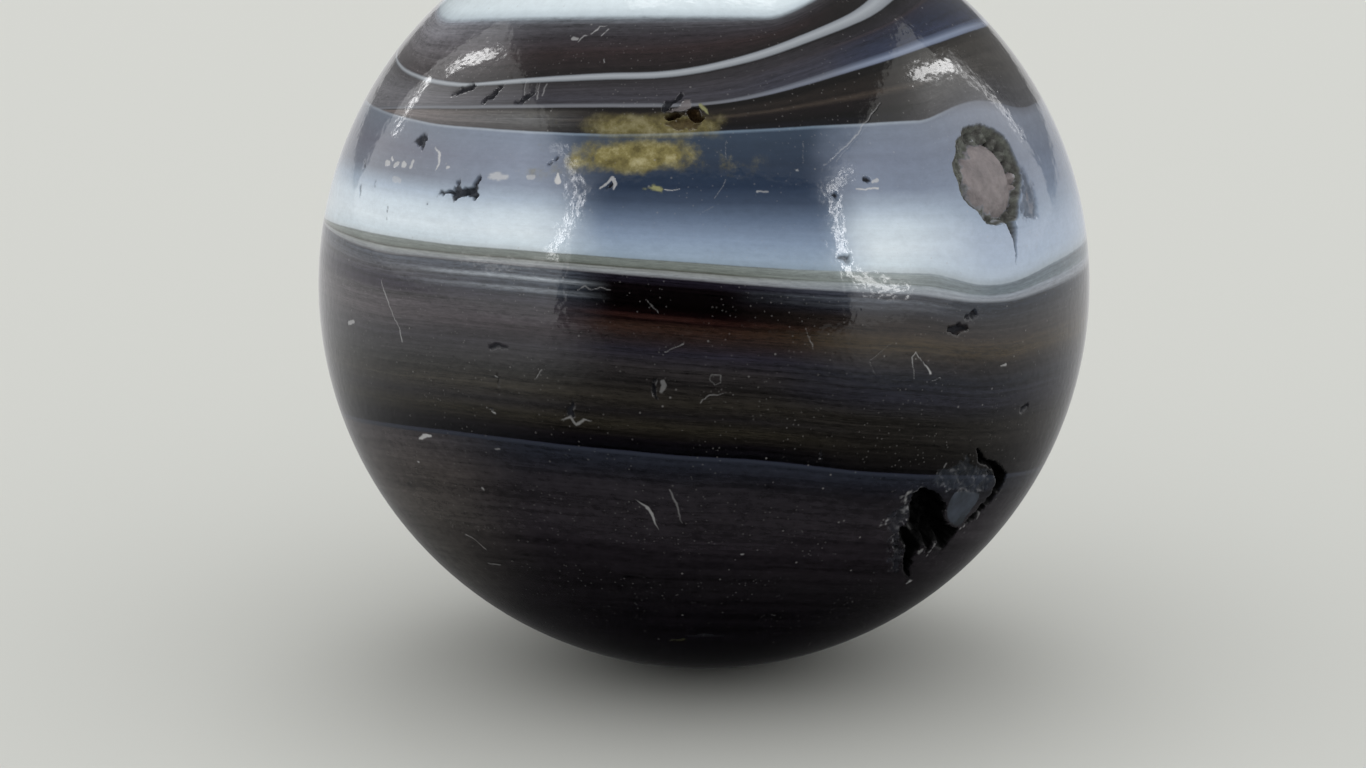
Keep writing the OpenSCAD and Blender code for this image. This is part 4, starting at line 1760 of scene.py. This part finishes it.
@dataclass(frozen=True)
class FloorCard(Finish):
    """What the polished stone reflects of the floor: dark under the ball and in front of it, where shadow
    is painted on it.

    Attributes:
        radius: The ball's radius, in metres.
        radiance: How brightly the open floor shines, where 1 is white.
        name: The material's name.
        shade_right: How far right of the ball the darkest place lies, in ball radii.
        shade_front: How far in front of the ball it lies.
        shade_reach: How far from there the floor is darkest, and how far it takes to be open.
        shadow_wedge: How much darker a painted shadow makes a wedge of the floor that widens to the
            front.
    """

    radius: float
    radiance: float
    name: str = "floor_card"
    shade_right: float = 0.2
    shade_front: float = 1.8
    shade_reach: tuple[float, float] = (1.0, 6.0)
    shadow_wedge: float = 0.9

    def shader(self, tree: Tree) -> bpy.types.Node:
        """Builds the shader.

        Args:
            tree: The material's empty tree.

        Returns:
            The shader's last node.
        """
        place = tree.node("ShaderNodeTexCoord").outputs["Object"]
        parts = tree.node("ShaderNodeSeparateXYZ", None, {0: place})
        across = Num(tree, parts.outputs[0]) / self.radius
        ahead = Num(tree, parts.outputs[1]) / -self.radius
        # Painted shadow: the floor is darkest near the ball and opens up further out.
        right, front = across - self.shade_right, ahead - self.shade_front
        away = (right * right + front * front).root()
        # A painted shadow in a wedge that widens to the front.
        shadow_wedge = (across.size() / ahead.at_least(0.1)).between(1.15, 0.35) * ahead.between(0.1, 1.0)
        shine = away.between(*self.shade_reach) * (1.0 - shadow_wedge * self.shadow_wedge) * self.radiance
        return tree.node("ShaderNodeEmission", None, {"Strength": shine})


# --------------------------------------------------------------------------------------------------
# The marble
# --------------------------------------------------------------------------------------------------


@dataclass
class FlawedSurface:
    """The mesh tree that sinks the ball's skin into its flaws, and roughens it there.

    Attributes:
        grain: Size of the grains on rough stone, in metres.
        lump: Size of the lumps on rough stone, in metres.
        seed: Fixes the grains.
        highest: How much of a flaw's depth the rough stone may fill again.
    """

    grain: float = 0.09 * MM
    lump: float = 0.3 * MM
    seed: float = 2.0
    highest: float = 0.8

    def build(self, material: bpy.types.Material) -> bpy.types.NodeTree:
        """Builds the tree.

        Args:
            material: What the surface is dressed with.

        Returns:
            A tree whose inputs are the grain size, the lump size and the seed.
        """
        group = bpy.data.node_groups.new("flawed_surface", "GeometryNodeTree")
        group.interface.new_socket("Geometry", in_out="INPUT", socket_type="NodeSocketGeometry")
        names = ("Grain size", "Lump size", "Seed")
        for name in names:
            group.interface.new_socket(name, in_out="INPUT", socket_type="NodeSocketFloat")
        group.interface.new_socket("Geometry", in_out="OUTPUT", socket_type="NodeSocketGeometry")
        tree = Tree(group)
        start = tree.node("NodeGroupInput")
        grain, lump, seed = (Num(tree, start.outputs[name]) for name in names)
        here = tree.node("GeometryNodeInputPosition").outputs[0]
        kind = "GeometryNodeInputNamedAttribute"
        sink, rough = (
            tree.number(kind, {"data_type": "FLOAT"}, {"Name": name}, "Attribute")
            for name in ("sink", "rough")
        )
        grains = tree.number(
            "ShaderNodeTexNoise",
            {"noise_dimensions": "4D"},
            {"Vector": here, "W": seed, "Scale": self._per(tree, grain), "Detail": 2.0},
        )
        lumps = tree.number(
            "ShaderNodeTexVoronoi",
            {"voronoi_dimensions": "4D"},
            {"Vector": here, "W": seed, "Scale": self._per(tree, lump)},
        )
        out = tree.node("ShaderNodeVectorMath", {"operation": "NORMALIZE"}, {0: here}).outputs[0]
        push = tree.scaled(out, sink * -1.0)
        shape = self._step(tree, "SetPosition", start.outputs[0], {"Offset": push})
        facing = tree.node("GeometryNodeInputNormal").outputs[0]
        # The noises average about 0.5 and 0.45, so the two sums rise and fall about evenly.
        rise = rough * ((grains - 0.5) * 2.0 + (0.45 - lumps) * 1.5)
        rise = rise.at_most(sink * self.highest)
        shape = self._step(tree, "SetPosition", shape, {"Offset": tree.scaled(facing, rise)})
        shape = self._step(tree, "SetShadeSmooth", shape, {"Shade Smooth": True})
        shape = self._step(tree, "RealizeInstances", shape, {})
        shape = self._step(tree, "SetMaterial", shape, {"Material": material})
        tree.node("NodeGroupOutput", None, {0: shape})
        return group

    @staticmethod
    def _step(tree: Tree, kind: str, shape: Any, inputs: dict[str | int, Any]) -> Any:
        """Adds a node that changes the shape, and returns the changed shape."""
        return tree.node(f"GeometryNode{kind}", None, {"Geometry": shape, **inputs}).outputs[0]

    @staticmethod
    def _per(tree: Tree, size: Num) -> Num:
        """Returns how many of a size fit in a metre."""
        return tree.number("ShaderNodeMath", {"operation": "DIVIDE"}, {0: 1.0, 1: size})

    def apply(self, piece: bpy.types.Object, material: bpy.types.Material) -> None:
        """Runs the tree on a piece and keeps the result as its plain mesh.

        Args:
            piece: The piece, whose mesh has the attributes sink and rough.
            material: What it is dressed with.
        """
        group = self.build(material)
        modifier = piece.modifiers.new("flawed_surface", "NODES")
        modifier.node_group = group
        values = {"Grain size": self.grain, "Lump size": self.lump, "Seed": self.seed}
        for item in group.interface.items_tree:
            if item.in_out == "INPUT" and item.name in values:
                modifier[item.identifier] = values[item.name]
        graph = bpy.context.evaluated_depsgraph_get()
        mesh = bpy.data.meshes.new_from_object(
            piece.evaluated_get(graph), preserve_all_data_layers=True, depsgraph=graph
        )
        piece.modifiers.clear()
        piece.data = mesh


@dataclass
class Marble:
    """The ball: one piece of stone, with its flaws.

    Attributes:
        radius: Its radius, in metres.
        flaws: Everything that breaks its surface, in the order in which it is laid down.
        base_level: How often the starting ball is divided.
        coarse: The longest mesh edge away from the flaws, in millimetres.
        passes: How often long edges are split.
        too_long: How many times the wanted length an edge may have before it is split.
        smoothings: How often the divided mesh is evened out.
    """

    radius: float
    flaws: tuple[Flaw, ...]
    base_level: int = 6
    coarse: float = 0.5
    passes: int = 5
    too_long: float = 1.4
    smoothings: int = 3

    def build(self) -> bpy.types.Object:
        """Builds the ball.

        Returns:
            The dressed piece.
        """
        shape = self._divided_ball()
        mesh = bpy.data.meshes.new("agate_ball")
        shape.to_mesh(mesh)
        shape.free()
        points = np.empty(len(mesh.vertices) * 3)
        mesh.vertices.foreach_get("co", points)
        skin = Skin(points.reshape(-1, 3) / MM)
        for flaw in self.flaws:
            flaw.mark(skin)
        self._store(mesh, "sink", skin.sink * MM)
        self._store(mesh, "rough", skin.rough * MM)
        for trace, values in skin.traces.items():
            self._store(mesh, trace.value, values)
        piece = bpy.data.objects.new("agate_ball", mesh)
        bpy.context.scene.collection.objects.link(piece)
        FlawedSurface().apply(piece, AgateFinish(self.radius).make())
        log.info("agate_ball: %d triangles, %d flaws", len(piece.data.polygons), len(self.flaws))
        return piece

    def _wanted(self, points: Points) -> np.ndarray:
        """Finds the mesh edge length that the flaws want.

        Args:
            points: Points on the ball, in millimetres.

        Returns:
            The length at each point, in millimetres.
        """
        wanted = np.full(len(points), self.coarse)
        for flaw in self.flaws:
            wanted = np.minimum(wanted, flaw.mesh_length(points, self.coarse))
        return wanted

    def _divided_ball(self) -> bmesh.types.BMesh:
        """Divides a ball more finely near its flaws.

        Returns:
            The ball in triangles, in metres.
        """
        shape = bmesh.new()
        bmesh.ops.create_icosphere(shape, subdivisions=self.base_level, radius=self.radius)
        for _ in range(self.passes):
            edges = list(shape.edges)
            middles = np.array([(e.verts[0].co + e.verts[1].co) / 2 for e in edges]) / MM
            lengths = np.array([e.calc_length() for e in edges]) / MM
            long = [edges[i] for i in np.flatnonzero(lengths > self.too_long * self._wanted(middles))]
            if not long:
                break
            bmesh.ops.subdivide_edges(shape, edges=long, cuts=1)
            many = [f for f in shape.faces if len(f.verts) > 3]
            bmesh.ops.triangulate(shape, faces=many, quad_method="SHORT_EDGE", ngon_method="EAR_CLIP")
            self._round(shape)
        axes = {"use_axis_x": True, "use_axis_y": True, "use_axis_z": True}
        for _ in range(self.smoothings):
            bmesh.ops.smooth_vert(shape, verts=shape.verts, factor=0.5, **axes)
            self._round(shape)
        return shape

    def _round(self, shape: bmesh.types.BMesh) -> None:
        """Puts every point of a mesh on the true ball."""
        for vert in shape.verts:
            vert.co = vert.co.normalized() * self.radius

    @staticmethod
    def _store(mesh: bpy.types.Mesh, name: str, values: np.ndarray) -> None:
        """Stores one number for each point of a mesh."""
        mesh.attributes.new(name, "FLOAT", "POINT").data.foreach_set("value", values.astype(np.float32))


# --------------------------------------------------------------------------------------------------
# The studio
# --------------------------------------------------------------------------------------------------


@dataclass(frozen=True)
class Ribbon:
    """A thin light that follows a line of directions round the ball.

    Attributes:
        name: What it is called.
        line: Its points: azimuth, elevation and width, in degrees as the ball sees them.
        radiance: How brightly it shines, where 1 is white.
        lights_stone: Whether it also lights the stone, or only shows in its polish.
    """

    name: str
    line: tuple[tuple[float, float, float], ...]
    radiance: float
    lights_stone: bool = False

    def edges(self, distance: float) -> list[tuple[float, ...]]:
        """Finds the ribbon's edges.

        Args:
            distance: How far it stands from the ball's middle.

        Returns:
            The two edge points beside each of its points in turn.
        """
        ways = [Vector(Place(azimuth, elevation).axes()[2]) for azimuth, elevation, _ in self.line]
        points = []
        for i, (way, (_, _, width)) in enumerate(zip(ways, self.line)):
            along = ways[min(i + 1, len(ways) - 1)] - ways[max(i - 1, 0)]
            side = along.cross(way).normalized() * math.tan(math.radians(width) / 2)
            points += [tuple((way - side) * distance), tuple((way + side) * distance)]
        return points


@dataclass(frozen=True)
class SideWall:
    """A bright side wall of the light box, with its measures in ball radii.

    Attributes:
        name: What it is called.
        side: -1 on the left and 1 on the right.
        back: How far it runs to the back.
        front_top: Its height above the ball's middle at the front.
        back_top: Its height there at the back.
    """

    name: str
    side: float
    back: float
    front_top: float
    back_top: float


@dataclass
class Studio:
    """The floor, the light box round the ball and the camera. Sizes are in ball radii.

    QUARTERS gives the signs of a sheet's four corners, as a pair for each end.

    Attributes:
        radius: The ball's radius, in metres.
        floor_half: Half the width of the floor.
        box_half: Half the width of the light box.
        box_front: How far the dark front wall stands from the ball.
        walls: Its two bright side walls.
        box_top: How high the ceiling is above the ball's middle.
        wall_light: How brightly the side walls shine, where 1 is white.
        ceiling_light: How brightly the ceiling shines.
        back_light: How brightly the back wall shines.
        floor_light: How brightly the polished stone sees the open floor.
        world_light: How brightly the surroundings light the object.
        view_rise: The camera's height above the horizon, in degrees.
        view_distance: The camera's distance.
        view_aim: How far right of the ball's middle, and above it, the camera looks.
        lens: The camera's focal length, in millimetres.
        ribbon_distance: How far the ribbons stand from the ball's middle.
        ribbons: The thin lights that show in the polish.
    """

    QUARTERS: ClassVar[tuple[tuple[int, int], ...]] = ((-1, -1), (1, -1), (-1, 1), (1, 1))

    radius: float
    floor_half: float = 160.0
    box_half: float = 48.0
    box_front: float = 51.0
    walls: tuple[SideWall, ...] = (
        SideWall("left_wall", -1.0, 56.0, 45.0, 54.0),
        SideWall("right_wall", 1.0, 45.0, 45.0, 36.0),
    )
    box_top: float = 54.0
    wall_light: float = 1.0
    ceiling_light: float = 0.25
    back_light: float = 0.2
    floor_light: float = 0.68
    world_light: float = 0.95
    view_rise: float = 15.0
    view_distance: float = 20.0
    view_aim: tuple[float, float] = (-0.05453, -0.26148)
    lens: float = 202.99
    ribbon_distance: float = 35.7
    ribbons: tuple[Ribbon, ...] = (
        Ribbon("key", ((180, 50, 28), (180, 74, 28)), 2.6, lights_stone=True),
        Ribbon("left_front_top", ((-65, 43, 0.6), (-60, 44, 1.0), (-54, 42, 1.2), (-48.5, 38, 1.4)), 5.0),
        Ribbon(
            "left_front",
            ((-48.5, 38, 1.6), (-45, 33, 1.5), (-44.5, 28, 1.4), (-46.5, 22, 1.4), (-48, 17, 1.6)),
            10.0,
        ),
        Ribbon(
            "left_front_foot",
            ((-48, 17, 1.6), (-53, 14, 1.6), (-60, 12, 2.0), (-68, 10.5, 1.6), (-78, 9, 0.8)),
            2.5,
        ),
        Ribbon(
            "left_corner",
            ((-129, 27, 0.8), (-127.6, 31.5, 1.6), (-124.5, 36.5, 2.0), (-121, 41, 0.8)),
            10.0,
        ),
        Ribbon(
            "left_back",
            (
                (-132.8, 22.0, 0.5), (-132.4, 21.0, 2.0), (-131.6, 19.4, 0.3), (-130.8, 17.6, 2.0),
                (-129.8, 15.8, 0.3), (-129.4, 14.2, 1.8), (-129.2, 12.6, 0.3),
            ),
            9.0,
        ),
        Ribbon("right_front_top", ((44.5, 36, 0.8), (50, 37, 1.2), (57, 39, 0.6)), 8.0),
        Ribbon("right_front", ((46.5, 36, 1.2), (44.4, 30, 1.4), (43.0, 22, 1.6), (44.0, 13, 2.0)), 12.0),
        Ribbon("right_front_foot", ((44.0, 13, 2.0), (49, 9.5, 2.4), (56, 7, 2.6), (62, 5, 1.2)), 9.0),
        Ribbon(
            "right_corner",
            ((110, 41, 0.8), (116, 38, 2.4), (121, 34.5, 2.0), (126, 31, 2.2), (129, 28, 1.6)),
            8.5,
        ),
        Ribbon(
            "right_back",
            ((128, 28.5, 1.0), (129.8, 23, 1.2), (131.3, 17, 1.2), (132.3, 10, 1.0)),
            3.5,
        ),
        Ribbon("right_back_foot", ((132.3, 10, 1.0), (133.2, 4, 1.0), (131.8, -1, 0.8)), 1.2),
    )

    def build(self) -> None:
        """Builds the camera, the floor, the light box and the world."""
        self._camera()
        self._world()
        r = self.radius
        low, wide = -r, self.floor_half * r
        half, front, top = (n * r for n in (self.box_half, -self.box_front, self.box_top))
        corners = [(x * wide, y * wide, low) for x, y in self.QUARTERS]
        self._sheet("floor", corners, Matt("pale_floor", "d0d1cc"))
        for wall in self.walls:
            x, back = wall.side * half, wall.back * r
            tops = [(x, front, wall.front_top * r), (x, back, wall.back_top * r)]
            corners = [(x, front, low), (x, back, low), *tops]
            self._sheet(wall.name, corners, Glow(wall.name, self.wall_light), seen=False)
        heights = (low, top)
        corners = [(x * half, front, heights[z > 0]) for x, z in self.QUARTERS]
        self._sheet("front_wall", corners, Matt("dark_card", "050505"), seen=False)
        corners = [(x * half, y, top) for x, y in ((-1, front), (1, front), (-1, -front), (1, -front))]
        self._sheet("ceiling", corners, Glow("ceiling", self.ceiling_light), seen=False)
        corners = [(x * 2 * half, -front, heights[z > 0]) for x, z in self.QUARTERS]
        self._sheet("back_wall", corners, Glow("back_wall", self.back_light), seen=False)
        just_above = low * 0.999
        ends = (front, half)
        corners = [(x * half, ends[y > 0], just_above) for x, y in self.QUARTERS]
        self._sheet("floor_card", corners, FloorCard(r, self.floor_light), seen=False)
        for ribbon in self.ribbons:
            edges = ribbon.edges(self.ribbon_distance * r)
            sheet = self._sheet(ribbon.name, edges, Glow(ribbon.name, ribbon.radiance), seen=False)
            sheet.visible_diffuse = ribbon.lights_stone
        log.info("light box: %d walls and %d ribbons", len(self.walls), len(self.ribbons))

    def _sheet(
        self,
        name: str,
        points: list[tuple[float, ...]],
        finish: Finish,
        seen: bool = True,
    ) -> bpy.types.Object:
        """Makes a thin sheet of the studio, which isn't part of the object.

        Args:
            name: Its name.
            points: Its edge points, as a pair for each step along it.
            finish: What it is dressed with.
            seen: Whether the camera sees it, or only the polished stone.

        Returns:
            The sheet.
        """
        mesh = bpy.data.meshes.new(name)
        faces = [(i, i + 1, i + 3, i + 2) for i in range(0, len(points) - 2, 2)]
        mesh.from_pydata(points, [], faces)
        mesh.materials.append(finish.make())
        sheet = bpy.data.objects.new(name, mesh)
        sheet.visible_camera = seen
        sheet.visible_diffuse = seen
        sheet.visible_shadow = seen
        bpy.context.scene.collection.objects.link(sheet)
        return sheet

    def _world(self) -> None:
        """Lights the scene evenly, and shows a pale background."""
        world = bpy.data.worlds.new("pale_room")
        bpy.context.scene.world = world
        world.use_nodes = True
        tree = Tree(world.node_tree)
        path = tree.node("ShaderNodeLightPath")
        seen = Num(tree, path.outputs["Is Camera Ray"])
        seen = seen.at_least(Num(tree, path.outputs["Is Glossy Ray"]))
        seen = seen.at_least(Num(tree, path.outputs["Is Transmission Ray"]))
        colour = tree.mix(seen, linear("ffffff"), linear("f2f2ef"))
        strength = seen * (1.0 - self.world_light) + self.world_light
        light = tree.node("ShaderNodeBackground", None, {"Color": colour, "Strength": strength})
        tree.node("ShaderNodeOutputWorld", None, {"Surface": light.outputs[0]})

    def _camera(self) -> None:
        """Sets the camera in front of the ball, a little above it."""
        rise = math.radians(self.view_rise)
        right = Vector((1.0, 0.0, 0.0))
        up = Vector((0.0, math.sin(rise), math.cos(rise)))
        back = right.cross(up)
        data = bpy.data.cameras.new("camera")
        data.lens = self.lens
        data.sensor_width = 36.0
        data.clip_start = self.radius
        data.clip_end = self.radius * 1000
        camera = bpy.data.objects.new("camera", data)
        aim_right, aim_up = self.view_aim
        camera.location = (right * aim_right + up * aim_up + back * self.view_distance) * self.radius
        camera.rotation_euler = (math.pi / 2 - rise, 0.0, 0.0)
        bpy.context.scene.collection.objects.link(camera)
        bpy.context.scene.camera = camera


def main() -> None:
    """Loads the frame, builds the studio and the marble, and seats the marble in the frame."""
    logging.basicConfig(level=logging.INFO, format="%(message)s")
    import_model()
    bpy.context.scene.view_settings.view_transform = "Standard"
    low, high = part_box("marble")
    radius = max(high - low) / 2
    Studio(radius).build()
    crumbs = tuple(crumb(*row) for row in CHIP_CRUMBS)
    ball = Marble(radius, POCKET_FLAWS + CHIP_FLAWS + crumbs + SMALL_FLAWS).build()
    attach(ball, "root")
    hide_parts("marble")


if __name__ == "__main__":
    main()
